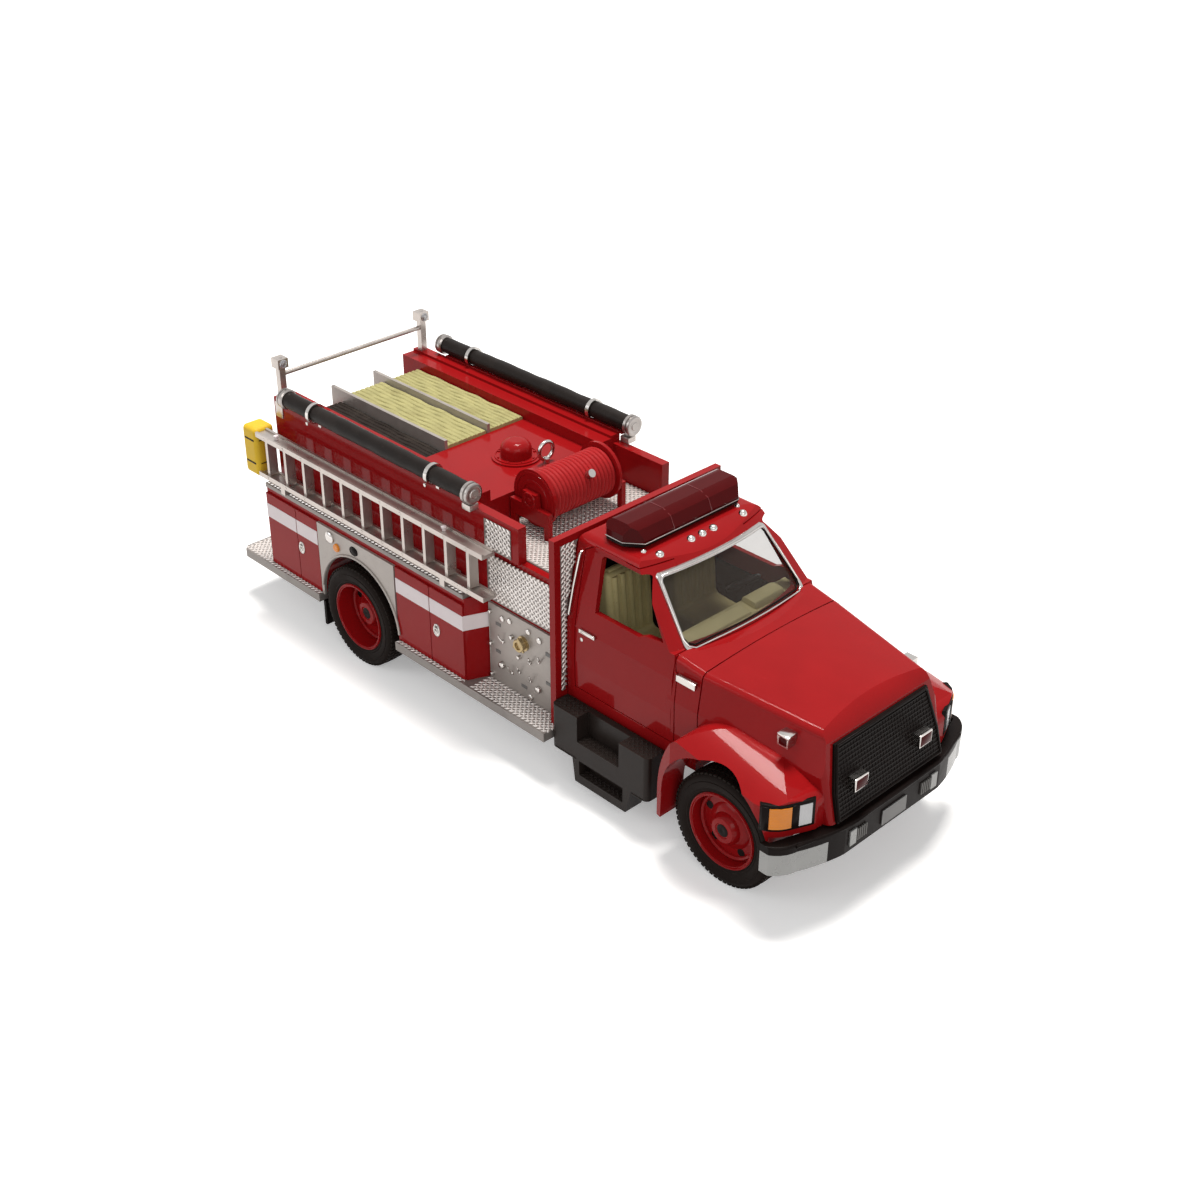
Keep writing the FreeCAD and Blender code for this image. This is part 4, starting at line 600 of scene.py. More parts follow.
def tread_field(plane, level, rise, u, v):
    """Raised lozenges leaning to and fro over a plate; rise is their height with its direction."""
    pitch = bpy.context.scene.engine_sizes.tread_pitch / MM
    turn = {"XY": (0, 0, 0), "XZ": (math.pi / 2, 0, 0), "YZ": (math.pi / 2, 0, math.pi / 2)}[plane]
    out = {"XY": 2, "XZ": 1, "YZ": 0}[plane]
    across = {"XY": (0, 1), "XZ": (0, 2), "YZ": (1, 2)}[plane]
    fields = []
    for shift, lean in ((0.0, 1), (0.5, -1)):
        counts = [int((high - low) / pitch - shift - 0.35) + 1 for low, high in (u, v)]
        if min(counts) < 1:
            continue
        first = [0, 0, 0]
        first[across[0]], first[across[1]] = u[0] + (shift + 0.45) * pitch, v[0] + (shift + 0.45) * pitch
        first[out] = level + rise / 2
        deselect()
        bpy.ops.mesh.primitive_cone_add(vertices=4, radius1=0.62 * pitch * MM, radius2=0.30 * pitch * MM,
                                        depth=abs(rise) * MM, end_fill_type="NGON", location=(0, 0, 0))
        seed = bpy.context.object
        seed.scale = (1.0, 0.42, 1.0)
        settle(seed)
        flip = math.pi if (rise < 0) != (plane == "XZ") else 0.0
        seed.rotation_euler = (flip, 0, lean * math.radians(45))
        settle(seed)
        seed.rotation_euler = turn
        settle(seed)
        seed.location = [c * MM for c in first]
        settle(seed)
        for way, count in zip(across, counts):
            step = [0.0, 0.0, 0.0]
            step[way] = pitch * MM
            modified(seed, "ARRAY", count=count, use_relative_offset=False, use_constant_offset=True,
                     constant_offset_displace=step)
        fields.append(seed)
    return joined(fields)


class ENGINE_OT_tread(bpy.types.Operator):
    """Raised tread on the boards, the ledge, the pump panels, the partition and the rear panel"""
    bl_idname = "engine.tread"
    bl_label = "Tread plate"

    def execute(self, context):
        rise = context.scene.engine_sizes.tread_rise / MM
        low, high = millimetres(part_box("running_boards"))
        top, front = high.z, high.x
        locker = at(39.0)
        sides = both_sides([
            tread_field("XY", top, rise, (locker, front - 0.2), (low.y + 0.3, -21.9)),
            tread_field("XY", top, rise, (at(-35.0), at(-15.4)), (low.y + 0.1, low.y + 1.0)),
            tread_field("XY", top, rise, (at(13.8), at(36.6)), (low.y + 0.1, low.y + 1.0))])
        tail = tread_field("XY", top, rise, (low.x + 0.3, at(-35.6)), (low.y + 0.3, high.y - 0.3))
        piece("board_tread", sides + [tail], "tread", angle=20)
        low, high = millimetres(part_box("ledge_trim"))
        piece("ledge_beads", both_sides([tread_field("XY", high.z, 0.22, (low.x + 0.4, high.x - 0.5),
                                                     (-26.5, -22.4))]), "tread", angle=20)
        low, high = millimetres(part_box("diamond_panels"))
        piece("pump_tread", both_sides([
            tread_field("XZ", -21.7, -rise, (at(39.4), at(60.7)), (32.0, 42.5)),
            tread_field("XZ", -22.25, -rise, (at(39.5), at(47.2)), (44.6, 51.1))]) + [
            tread_field("XY", 44.3, rise, (at(34.8), at(60.6)), (-19.4, 19.4))], "tread", angle=20)
        low, high = millimetres(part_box("partition"))
        piece("partition_tread", both_sides([
            tread_field("YZ", high.x - 0.27, rise, (-22.4, -21.2), (19.8, 24.0)),
            tread_field("YZ", high.x + 0.07, rise, (-22.4, -21.2), (24.2, 53.8)),
            tread_field("YZ", high.x + 0.07, rise, (-21.15, -19.9), (41.7, 53.8)),
            tread_field("YZ", high.x + 0.07, rise, (-19.9, -18.6), (47.9, 53.8)),
            tread_field("YZ", low.x + 0.3, -rise, (-22.4, -21.3), (44.4, 53.8))]) + [
            tread_field("YZ", low.x + 0.3, -rise, (-21.2, 21.2), (44.4, 53.8))], "tread", angle=20)
        low, high = millimetres(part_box("rear_panel"))
        piece("rear_tread", [tread_field("YZ", low.x, -rise, (low.y + 0.3, high.y - 0.3),
                                         (low.z + 0.3, high.z - 0.3))], "tread", angle=20)
        return {"FINISHED"}


# ---- wheels ------------------------------------------------------------------------------------------------

def dressed_tyre(centre, face, inner):
    """One tyre between two places along Y: a ringed side wall and four rows of lugs."""
    outline = ((0.55, 8.15), (0.15, 8.7), (0.28, 9.0), (0.02, 9.6), (0.0, 10.4), (0.14, 10.5), (0.1, 10.9),
               (0.3, 11.4), (0.7, 11.85), (1.3, 12.03))
    half = [(face + along, radius) for along, radius in outline]
    profile = half + [(inner - along, radius) for along, radius in reversed(outline)]
    body = turned([(along, radius) for along, radius in profile], "Y", centre, 64)
    lugs = []
    for k, (low, high, turn) in enumerate(((0.5, 1.85, 0.0), (2.0, 3.02, 0.5), (3.18, 4.2, 0.0),
                                           (4.35, 5.7, 0.5))):
        drop = 0.09 if k in (0, 3) else 0.0
        lug = block((centre[0] - 0.44, centre[0] + 0.44), (centre[1] + face + low, centre[1] + face + high),
                    (centre[2] + 11.8 - drop, centre[2] + 12.24 - drop), 0.08, 1)
        pick(lug)
        open_mesh()
        bpy.ops.transform.rotate(value=turn * 2 * math.pi / 64, orient_axis="Y",
                                 center_override=[v * MM for v in centre])
        bpy.ops.mesh.spin(steps=64, angle=2 * math.pi, dupli=True, center=[v * MM for v in centre],
                          axis=(0, 1, 0))
        close_mesh()
        lugs.append(lug)
    return joined([body] + lugs)


class ENGINE_OT_tyres(bpy.types.Operator):
    """Tyres with lugs and ringed side walls"""
    bl_idname = "engine.tyres"
    bl_label = "Tyres"

    def execute(self, context):
        for name, faces in (("front_tyres", ((-25.7, -19.5),)),
                            ("rear_tyres", ((-28.2, -22.0), (-21.2, -15.0)))):
            low, high = millimetres(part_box(name))
            centre = ((low.x + high.x) / 2, 0.0, (low.z + high.z) / 2)
            first = dressed_tyre(centre, *faces[0])
            made = [first] + [copied(first, (0, face - faces[0][0], 0)) for face, _ in faces[1:]]
            dressed = piece(name + "_tread", both_sides(made), "rubber", name.replace("tyres", "wheels"),
                            angle=40)
            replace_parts(dressed, name)
        return {"FINISHED"}


class ENGINE_OT_rims(bpy.types.Operator):
    """Rim rings, hubs, hand holes and axle ends"""
    bl_idname = "engine.rims"
    bl_label = "Rims"

    def execute(self, context):
        for axle, face, disc in (("front", 25.7, 2.9), ("rear", 28.2, 4.9)):
            low, high = millimetres(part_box(axle + "_tyres"))
            centre = ((low.x + high.x) / 2, 0.0, (low.z + high.z) / 2)
            level = -face + disc
            ring = stud(level, ((0.0, 7.4), (-0.5, 7.3), (-0.75, 6.9), (-0.5, 6.5), (0.02, 6.4)), "Y", centre,
                        48)
            lip = stud(-face, ((0.4, 8.1), (0.12, 8.0), (0.1, 7.8), (0.4, 7.6), (1.2, 7.45)), "Y", centre, 48)
            cone = stud(level, ((0.01, 5.0), (-0.5, 4.4), (-0.9, 3.4), (-2.0, 2.95), (-2.35, 2.6),
                                (-2.45, 1.7), (-2.0, 1.35)), "Y", centre, 40)
            piece(axle + "_rim_rings", both_sides([ring, lip, cone]), "enamel", axle + "_wheels")
            stub = stud(level, ((-2.05, 1.45), (-2.25, 1.35), (-2.35, 1.0), (-2.3, 0.5), (-2.2, 0.02)), "Y",
                        centre, 24)
            holes = []
            for k in range(5):
                turn = 2 * math.pi * (k + 0.2) / 5
                spot = (centre[0] + 5.7 * math.cos(turn), 0.0, centre[2] + 5.7 * math.sin(turn))
                holes.append(stud(level, ((0.0, 0.95), (-0.06, 0.9), (-0.04, 0.5), (-0.03, 0.02)), "Y", spot,
                                  20))
            piece(axle + "_rim_shadows", both_sides([stub] + holes), "black", axle + "_wheels")
        return {"FINISHED"}


# ---- body ------------------------------------------------------------------------------------------------

class ENGINE_OT_stripes(bpy.types.Operator):
    """White stripe round the lockers"""
    bl_idname = "engine.stripes"
    bl_label = "Stripes"

    def execute(self, context):
        sizes = context.scene.engine_sizes
        low, high = sizes.stripe_low / MM, sizes.stripe_high / MM
        skin, film, lip = -26.86, -26.98, -26.95
        doors = ((-35.3, -23.65), (-23.35, -15.25), (13.85, 25.35))

        def strip(rear, front, face, foot, head):
            return plate(along((rear, face), (front, face), (front, skin), (rear, skin)), "XY", foot, head)

        stripes = [strip(rear, front, film, low, high) for rear, front in doors]
        stripes.append(plate(along((25.65, film), (36.7, film), (36.88, -26.5), (39.05, -21.35),
                                   (38.95, -21.3), (36.7, -26.5), (36.6, skin), (25.65, skin)), "XY", low,
                             high))
        piece("locker_stripes", both_sides(stripes), "stripe")
        edge = [strip(rear, front, lip, 30.55, 30.9) for rear, front in doors + ((25.65, 36.65),)]
        piece("door_top_edges", both_sides(edge), "enamel")
        return {"FINISHED"}


class ENGINE_OT_handles(bpy.types.Operator):
    """Ring handles of the locker doors"""
    bl_idname = "engine.handles"
    bl_label = "Locker handles"

    def execute(self, context):
        made = []
        for station, height in ((27.8, 20.9), (-21.9, 21.3)):
            x = at(station)
            dish = turned([(-26.88, 1.3), (-27.12, 1.25), (-27.24, 1.08), (-27.08, 0.85), (-26.98, 0.02)], "Y",
                          (x, 0, height), 28)
            dish.scale = (0.85, 1, 1.25)
            dish.location = (x * MM * 0.15, 0, -height * MM * 0.25)
            settle(dish)
            ring = wire([(x - 0.5, -27.2, height + 0.45), (x - 0.5, -27.35, height - 0.35),
                         (x - 0.15, -27.4, height - 0.8), (x + 0.15, -27.4, height - 0.8),
                         (x + 0.5, -27.35, height - 0.35), (x + 0.5, -27.2, height + 0.45)], 0.13, 0.15)
            bar = wire([(x - 0.62, -27.2, height + 0.5), (x + 0.62, -27.2, height + 0.5)], 0.15)
            made += [dish, ring, bar]
        piece("locker_handles", both_sides(made), "chrome")
        return {"FINISHED"}


class ENGINE_OT_fender_trim(bpy.types.Operator):
    """Lamp, reflector and filler cap above the rear wheels"""
    bl_idname = "engine.fender_trim"
    bl_label = "Fender trim"

    def execute(self, context):
        wall = -27.05
        lamp_body = stud(wall, ((0.02, 1.5), (-0.35, 1.45), (-0.55, 1.2), (-0.75, 0.7), (-0.82, 0.02)), "Y",
                         (at(-9.9), 0, 28.9), 28)
        piece("fender_round_lamps", both_sides([lamp_body]), "chrome")
        amber = stud(wall, ((0.02, 1.05), (-0.35, 1.0), (-0.5, 0.8), (-0.5, 0.02)), "Y", (at(-7.5), 0, 27.1),
                     24)
        piece("fender_reflectors", both_sides([amber]), "amber")
        cap = stud(wall, ((0.02, 1.15), (-0.12, 1.12), (-0.2, 1.0), (-0.12, 0.85), (-0.25, 0.6),
                          (-0.28, 0.02)), "Y", (at(-1.0), 0, 28.8), 28)
        cap.scale = (1.3, 1, 1)
        cap.location = (-at(-1.0) * MM * 0.3, 0, 0)
        settle(cap)
        piece("fender_fillers", both_sides([cap]), "black")
        arch = [(at(0) + 14.35 * math.cos(math.radians(a)), -27.15, 12.65 + 14.35 * math.sin(math.radians(a)))
                for a in range(4, 177, 6)]
        piece("fender_arch_beads", both_sides([wire(arch, 0.3)]), "silver")
        return {"FINISHED"}


class ENGINE_OT_pump_panel(bpy.types.Operator):
    """Ports, gauges, levers and blank plates of the pump panels"""
    bl_idname = "engine.pump_panel"
    bl_label = "Pump panel"

    def execute(self, context):
        wall = -21.7

        def boss(station, height, radius, reach, dome=0.5):
            return turned([(wall + 0.05, radius), (wall - reach * 0.7, radius * 0.96),
                           (wall - reach * 0.92, radius * 0.8), (wall - reach, radius * dome),
                           (wall - reach, 0.02)], "Y", (at(station), 0, height), 20)

        port = stud(wall, ((0.05, 1.75), (-0.3, 1.7), (-0.35, 1.3), (-1.1, 1.25), (-1.2, 1.5), (-1.55, 1.5),
                           (-1.7, 1.35), (-1.7, 0.9), (-1.3, 0.8), (-1.3, 0.02)), "Y", (at(50.1), 0, 25.4), 32)
        lugs = [block((at(50.1) - 0.22, at(50.1) + 0.22), (wall - 1.6, wall - 1.2), (25.4 + 1.3, 25.4 + 1.95),
                      0.08)]
        hub = Vector((at(50.1), 0, 25.4)) * MM
        for _ in range(2):
            pick(lugs[-1])
            bpy.ops.object.duplicate(linked=False)
            lug = bpy.context.object
            turn = (Matrix.Translation(hub) @ Matrix.Rotation(2 * math.pi / 3, 4, "Y")
                    @ Matrix.Translation(-hub))
            lug.matrix_world = turn @ lug.matrix_world
            lugs.append(settle(lug))
        piece("pump_brass_ports", both_sides([port] + lugs), "brass")
        knobs = [boss(x, z, r, h) for x, z, r, h in (
            (39.9, 28.9, 0.5, 0.7), (39.9, 21.0, 0.5, 0.7), (39.9, 13.2, 0.5, 0.7), (59.9, 28.9, 0.5, 0.7),
            (59.9, 21.0, 0.5, 0.7), (59.9, 13.2, 0.5, 0.7), (43.6, 28.6, 0.7, 0.45), (45.9, 29.0, 0.7, 0.45),
            (51.8, 29.0, 0.7, 0.45), (55.2, 28.4, 0.75, 0.5), (46.8, 25.6, 0.55, 0.9), (43.4, 17.0, 0.85, 0.9),
            (52.2, 12.9, 0.75, 0.5), (54.9, 16.2, 0.85, 0.9), (48.9, 21.5, 0.5, 0.8))]
        levers = []
        for x, z, lean in ((43.8, 23.0, -0.6), (52.2, 21.6, 0.5), (55.1, 23.2, 0.6), (46.5, 16.4, -0.4),
                           (48.8, 17.7, 0.3),
                           (52.3, 17.1, 0.5)):
            levers += [boss(x, z, 0.45, 0.5), wire(along((x, wall - 0.35, z), (x + lean, wall - 0.9, z + 1.1),
                                                         (x + lean, wall - 0.95, z + 1.7)), 0.17, 0.1)]
        piece("pump_fittings", both_sides(knobs + levers), "chrome")
        plates = [block((at(x), at(x + w)), (wall - 0.12, wall + 0.02), (z, z + h), 0.05, 1) for x, z, w,
                  h in ((41.4, 26.2, 1.6, 0.8), (57.0, 25.6, 1.8, 1.0), (57.0, 18.5, 1.8, 0.8),
                        (41.2, 19.3, 1.5, 0.8), (49.2, 14.2, 1.8, 0.8))]
        piece("pump_blank_plates", both_sides(plates), "plate")
        piece("pump_panel_edges", both_sides([
            block((at(39.3), at(60.7)), (wall - 0.15, wall + 0.02), (30.75, 31.05), 0.06, 1),
            block((at(39.25), at(39.5)), (wall - 0.15, wall + 0.02), (12.0, 31.0), 0.06, 1)]), "silver")
        return {"FINISHED"}


class ENGINE_OT_ladder_fittings(bpy.types.Operator):
    """Rung rivets and end knobs of the ladder, and the straps of its pad"""
    bl_idname = "engine.ladder_fittings"
    bl_label = "Ladder fittings"

    def execute(self, context):
        low, high = millimetres(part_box("ladder"))
        rivets = []
        first_rung, rung_pitch = low.x + 3.45, 7.2
        for k in range(11):
            x = first_rung + rung_pitch * k
            for z in (low.z + 0.6, high.z - 0.7):
                rivets.append(stud(low.y, ((0.02, 0.34), (-0.1, 0.28), (-0.14, 0.02)), "Y", (x, 0, z), 12))
        piece("ladder_rivets", rivets, "ladder")
        knobs = []
        for station in (-29.5, 31.0):
            knobs.append(turned([(high.z + up, radius) for up, radius in (
                (-0.4, 0.42), (0.15, 0.42), (0.3, 0.62), (0.62, 0.6), (0.75, 0.35), (0.78, 0.02))],
                "Z", (at(station), -26.2, 0), 16))
        piece("ladder_knobs", knobs, "stripe")
        low, high = millimetres(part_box("ladder_pad"))
        straps = []
        for z in (low.z + 3.1, high.z - 3.3):
            band = plate([(low.x - 0.06, low.y + 1.1), (low.x + 1.1, low.y - 0.06),
                          (high.x - 0.9, low.y - 0.06), (high.x + 0.0, low.y + 0.9),
                          (high.x + 0.0, high.y - 0.9), (high.x - 0.9, high.y + 0.06),
                          (low.x + 1.1, high.y + 0.06), (low.x - 0.06, high.y - 1.1)], "XY", z, z + 0.55, 0.12)
            straps.append(band)
        piece("pad_straps", straps, "black")
        return {"FINISHED"}


def strand(x, y, width, low, high, wander, seed):
    """One fold of hose: a rounded band drawn along the bed with a slight wander."""
    steps = 34
    half, soft = width / 2, 0.3
    outline = [(-half, low), (-half, high - soft), (-half + soft * 0.35, high - soft * 0.3),
               (-half + soft, high), (half - soft, high), (half - soft * 0.35, high - soft * 0.3),
               (half, high - soft), (half, low)]
    obj = traced([(x[0], y + u, v) for u, v in outline], True)
    open_mesh()
    before = (0.0, 0.0)
    for k in range(1, steps + 1):
        share = k / steps
        fade = min(1.0, share * 6, (1 - share) * 6)
        after = (fade * wander * math.sin(share * 19 + seed * 0.35),
                 fade * wander * 0.5 * math.sin(share * 31 + seed * 2.1))
        bpy.ops.mesh.extrude_region_move(TRANSFORM_OT_translate={
            "value": ((x[1] - x[0]) / steps * MM, (after[0] - before[0]) * MM, (after[1] - before[1]) * MM)})
        before = after
    close_mesh()
    return obj


def lane(low, high, left, right, count, wander, seed):
    """The folds that lie side by side between two dividers."""
    gap, joint, shy, drop = 0.12, 0.98, 0.02, 0.14
    pitch = (right - left - 2 * gap) / count
    return [strand((low.x, high.x - shy), left + gap + pitch * (k + 0.5), pitch * joint, low.z, high.z - drop,
                   wander, k + seed) for k in range(count)]


class ENGINE_OT_hose_bed(bpy.types.Operator):
    """Folded hose in the bed"""
    bl_idname = "engine.hose_bed"
    bl_label = "Hose bed"

    def execute(self, context):
        low, high = millimetres(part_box("hose_loads"))
        bands = lane(low, high, low.y, 4.9, 8, 0.16, 0) + lane(low, high, 5.9, high.y, 8, 0.16, 3)
        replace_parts(piece("cream_hose", bands, "cream", angle=50), "hose_loads")
        low, high = millimetres(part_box("dark_hose_load"))
        bands = lane(low, high, low.y, high.y, 7, 0.12, 9)
        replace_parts(piece("dark_hose", bands, "dark_hose", angle=50), "dark_hose_load")
        return {"FINISHED"}


class ENGINE_OT_suction_hoses(bpy.types.Operator):
    """Suction hoses with swellings, and their ringed caps"""
    bl_idname = "engine.suction_hoses"
    bl_label = "Suction hoses"

    def execute(self, context):
        low, high = millimetres(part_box("suction_hoses"))
        radius = (high.z - low.z) / 2
        centre = (0.0, low.y + radius, (low.z + high.z) / 2)
        length = high.x - low.x
        profile = [(low.x, 0.02), (low.x, radius * 0.95)]
        for k in range(1, 48):
            share = k / 48
            swell = 0.05 * math.sin(share * 23.0) + 0.04 * math.sin(share * 57.0 + 1.0)
            profile.append((low.x + length * share, radius * 0.975 + min(0.05, swell)))
        profile += [(high.x, radius * 0.95), (high.x, 0.02)]
        hose = turned(profile, "X", centre, 28)
        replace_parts(piece("suction_hose_runs", both_sides([hose]), "suction", angle=60), "suction_hoses")
        low, high = millimetres(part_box("hose_caps"))
        radius = (high.z - low.z) / 2
        length = 2.0

        def cap(end, way):
            face = [(0.0, 0.02), (0.0, radius * 0.35), (0.12, radius * 0.42), (0.12, radius * 0.62),
                    (0.0, radius * 0.7), (0.0, radius * 0.86), (0.18, radius * 0.97), (0.55, radius * 0.98),
                    (0.65, radius * 0.88), (0.9, radius * 0.88), (1.0, radius), (1.7, radius),
                    (1.85, radius * 0.92), (length, radius * 0.86), (length, 0.02)]
            return turned([(end + way * along, out) for along, out in face], "X", centre, 36)

        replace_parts(piece("hose_end_caps", both_sides([cap(low.x, 1), cap(high.x, -1)]), "cap"), "hose_caps")
        return {"FINISHED"}


class ENGINE_OT_reel(bpy.types.Operator):
    """Wound hose, ringed flanges and pin heads of the reel"""
    bl_idname = "engine.reel"
    bl_label = "Hose reel"

    def execute(self, context):
        low, high = millimetres(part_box("reel_hose"))
        radius = (high.z - low.z) / 2
        centre = ((low.x + high.x) / 2, 0.0, (low.z + high.z) / 2)
        turns = 17
        pitch = (high.y - low.y) / turns
        profile = [(low.y, 3.0)]
        for k in range(turns):
            start = low.y + pitch * k
            for share, drop in ((0.0, 0.42), (0.12, 0.2), (0.3, 0.03), (0.5, 0.0), (0.7, 0.03), (0.88, 0.2)):
                profile.append((start + pitch * share, radius - drop))
        profile += [(high.y, radius - 0.42), (high.y, 3.0)]
        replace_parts(piece("wound_hose", [turned(profile, "Y", centre, 48)], "reel_hose", "reel", 60),
                    "reel_hose")
        face = -9.8
        rings = stud(face, ((0.02, 5.9), (-0.14, 5.85), (-0.14, 5.35), (0.02, 5.3)), "Y", centre, 48)
        second = stud(face, ((0.02, 4.1), (-0.16, 4.0), (-0.16, 3.4), (0.02, 3.3)), "Y", centre, 40)
        piece("reel_rings", both_sides([rings, second]), "enamel", "reel")
        bracket = turned([(-11.28, 1.9), (-11.5, 1.8), (-11.5, 1.25), (-11.35, 1.15), (-11.35, 0.7),
                          (-11.6, 0.6), (-11.6, 0.02)], "Y", centre, 28)
        piece("reel_pin_heads", both_sides([bracket]), "enamel", "reel")
        return {"FINISHED"}


# ---- cab ---------------------------------------------------------------------------------------------------

def cab_side(height):
    """How far out the cab's side stands at a height."""
    line = ((18.0, 20.9), (28.0, 21.2), (36.0, 21.0), (41.7, 20.2), (53.1, 17.9), (54.3, 17.35), (55.4, 15.8))
    for (low, inner), (high, outer) in zip(line, line[1:]):
        if height <= high:
            return inner + (outer - inner) * (height - low) / (high - low)
    return line[-1][1]


def on_screen(side, height, lift=0.0):
    """A place on the bowed windscreen, lifted off its outer face."""
    bow, fall = 80.0, math.radians(47.6)
    drop = bow - math.sqrt(bow * bow - side * side) - lift
    down = (47.2 - drop * math.cos(fall) - height) / math.sin(fall)
    return (at(88.7) - drop * math.sin(fall) + down * math.cos(fall), side, height)


def screen_line(edge, lift):
    """The screen's outline, moved out by edge, as places on its bowed face."""
    foot, head = 41.35 - edge, 52.3 + edge
    half = [(side, foot + 0.6 * (1 - (side / 16.0) ** 2)) for side in (0, 4, 8, 12)]
    half += [(15.0 + edge, foot), (16.2 + edge, foot + 0.5), (16.6 + edge, foot + 1.6),
             (16.2 + edge, foot + 4.3), (15.8 + edge, foot + 7.0), (15.0 + edge, head - 1.1),
             (14.6 + edge, head - 0.3), (14.0 + edge, head), (10.5, head + 0.15), (7, head + 0.25),
             (3.5, head + 0.3), (0, head + 0.3)]
    whole = half + [(-side, height) for side, height in reversed(half[:-1])]
    return [on_screen(side, height, lift) for side, height in whole]


class ENGINE_OT_screen_trim(bpy.types.Operator):
    """Plated bead and rubber round the windscreen"""
    bl_idname = "engine.screen_trim"
    bl_label = "Windscreen trim"

    def execute(self, context):
        piece("screen_bead", [wire(screen_line(0.2, 0.34), 0.2)], "chrome", angle=60)
        piece("screen_rubber", [wire(screen_line(-0.08, 0.02), 0.2)], "black", angle=60)
        return {"FINISHED"}


class ENGINE_OT_cab_fittings(bpy.types.Operator):
    """Grab rails, drip rails, door locks and door hinges of the cab"""
    bl_idname = "engine.cab_fittings"
    bl_label = "Cab fittings"

    def execute(self, context):
        rail = along((64.3, -cab_side(51.8) + 0.2, 51.9), (64.3, -cab_side(51.8) - 0.55, 51.7),
                     (63.9, -cab_side(45.0) - 0.6, 45.0), (63.5, -cab_side(38.2) - 0.55, 38.3),
                     (63.5, -cab_side(38.0) + 0.2, 38.1))
        piece("cab_grab_rails", both_sides([wire(rail, 0.26, 0.3)]), "chrome", angle=60)
        drip = along((65.2, -17.95, 53.0), (66.5, -17.6, 54.0), (75.6, -17.55, 54.0), (77.0, -17.6, 53.7))
        piece("drip_rails", both_sides([wire(drip, 0.17, 0.5)]), "enamel", angle=60)
        lock = stud(-cab_side(33.9), ((0.1, 0.48), (-0.12, 0.45), (-0.22, 0.3), (-0.24, 0.02)), "Y",
                    (at(67.1), 0, 33.9), 20)
        grip = block((at(67.3), at(70.9)), (-21.66, -21.45), (35.85, 36.35), 0.09)
        sweep = plate(along((93.2, 36.7), (98.3, 36.7), (98.3, 38.15), (93.9, 38.3)), "XZ", -21.48, -21.0, 0.18)
        piece("door_locks", both_sides([lock, grip, sweep]), "chrome")
        hinges = [block((at(92.55), at(92.95)), (-cab_side(z) - 0.12, -cab_side(z) + 0.1), (z - 0.6, z + 0.6),
                        0.08, 1) for z in (25.0, 37.5)]
        piece("door_hinges", both_sides(hinges), "enamel")
        return {"FINISHED"}


class ENGINE_OT_cab_inside(bpy.types.Operator):
    """Dark lining that paints the shade inside the cab, pleated seats and instrument hood"""
    bl_idname = "engine.cab_inside"
    bl_label = "Cab inside"

    def execute(self, context):
        # Back, roof, floor and door plates in dark brown: painted shade inside the red cab.
        back = plate([(-19.3, 19.6), (19.3, 19.6), (19.6, 36.0), (18.8, 41.6), (16.6, 52.6), (14.8, 54.0),
                      (-14.8, 54.0), (-16.6, 52.6), (-18.8, 41.6), (-19.6, 36.0)], "YZ", at(64.02), at(64.3),
                     0.1, 1)
        roof = plate(along((64.1, -14.6), (77.6, -14.4), (77.6, 14.4), (64.1, 14.6)), "XY", 54.0, 54.25, 0.1, 1)
        floor = plate(along((64.2, -19.4), (96.0, -19.2), (96.0, 19.2), (64.2, 19.4)), "XY", 19.2, 19.5, 0.1, 1)
        doors = both_sides([plate(along((66.0, 20.5), (92.4, 20.5), (92.4, 36.4), (66.0, 36.4)), "XZ", -19.85,
                                  -19.6, 0.1, 1)])
        piece("painted_interior_shade", [back, roof, floor] + doors, "interior_shade")
        pleats = []
        for middle in (-9.6, 9.6):
            for k in range(5):
                y = middle + 2.15 * (k - 2)
                pleats.append(wire(along((70.3, y, 32.6), (69.55, y, 40.0), (68.95, y, 46.4)), 0.72, 0.0))
            pleats.append(wire([(at(67.5), middle - 4.9, 47.0), (at(67.5), middle + 4.9, 47.0)], 0.75, 0.0, 4))
        piece("seat_pleats", pleats, "seat", angle=60)
        # The instrument hood and shelf take the lighter, painted-lit copy of the cream.
        hood = plate(along((85.9, 39.4), (86.1, 41.0), (87.2, 41.5), (89.6, 41.2), (90.4, 39.4)), "XZ", 5.2,
                     14.0, 0.25)
        shelf = plate(along((86.8, 39.7), (87.0, 40.45), (90.2, 40.2), (90.6, 39.5)), "XZ", -15.5, 3.6, 0.2)
        piece("instrument_hood", [hood, shelf], "dash")
        return {"FINISHED"}


class ENGINE_OT_light_bar(bpy.types.Operator):
    """Seams, screws and plated edge of the light bar"""
    bl_idname = "engine.light_bar"
    bl_label = "Light bar"

    def execute(self, context):
        section = [(67.34, 56.95), (67.34, 57.42), (68.85, 59.97), (70.55, 60.57), (73.85, 60.57),
                   (75.97, 59.66), (77.07, 57.42), (77.07, 56.95)]
        seams = [plate([(at(x), z) for x, z in section], "XZ", y - 0.09, y + 0.09) for y in (-5.4, 5.4)]
        piece("light_bar_seams", seams, "lens_edge")
        edge = along((68.9, 16.28, 56.82), (73.6, 16.28, 56.82), (77.1, 13.45, 56.82), (77.14, 0, 56.82),
                     (77.1, -13.45, 56.82), (73.6, -16.28, 56.82), (68.9, -16.28, 56.82))
        piece("light_bar_edge", [wire(edge, 0.1)], "cap", angle=60)
        screws = [turned([(56.9, 0.4), (57.3, 0.4), (57.5, 0.3), (57.52, 0.02)], "Z", (at(66.9), y, 0), 12)
                  for y in (-10.0, 0.0, 10.0)]
        piece("light_bar_screws", screws, "chrome")
        return {"FINISHED"}


# ---- front end -----------------------------------------------------------------------------------------

def grille_face(height):
    """How far forward the grille's face stands at a height."""
    return at(129.65) - (height - 20.2) * 3.7 / 14.8


def grille_half(height):
    return 15.9 - (height - 20.2) * 0.3 / 5.8 if height < 26 else 15.6 - (height - 26.0) * 2.1 / 9.6


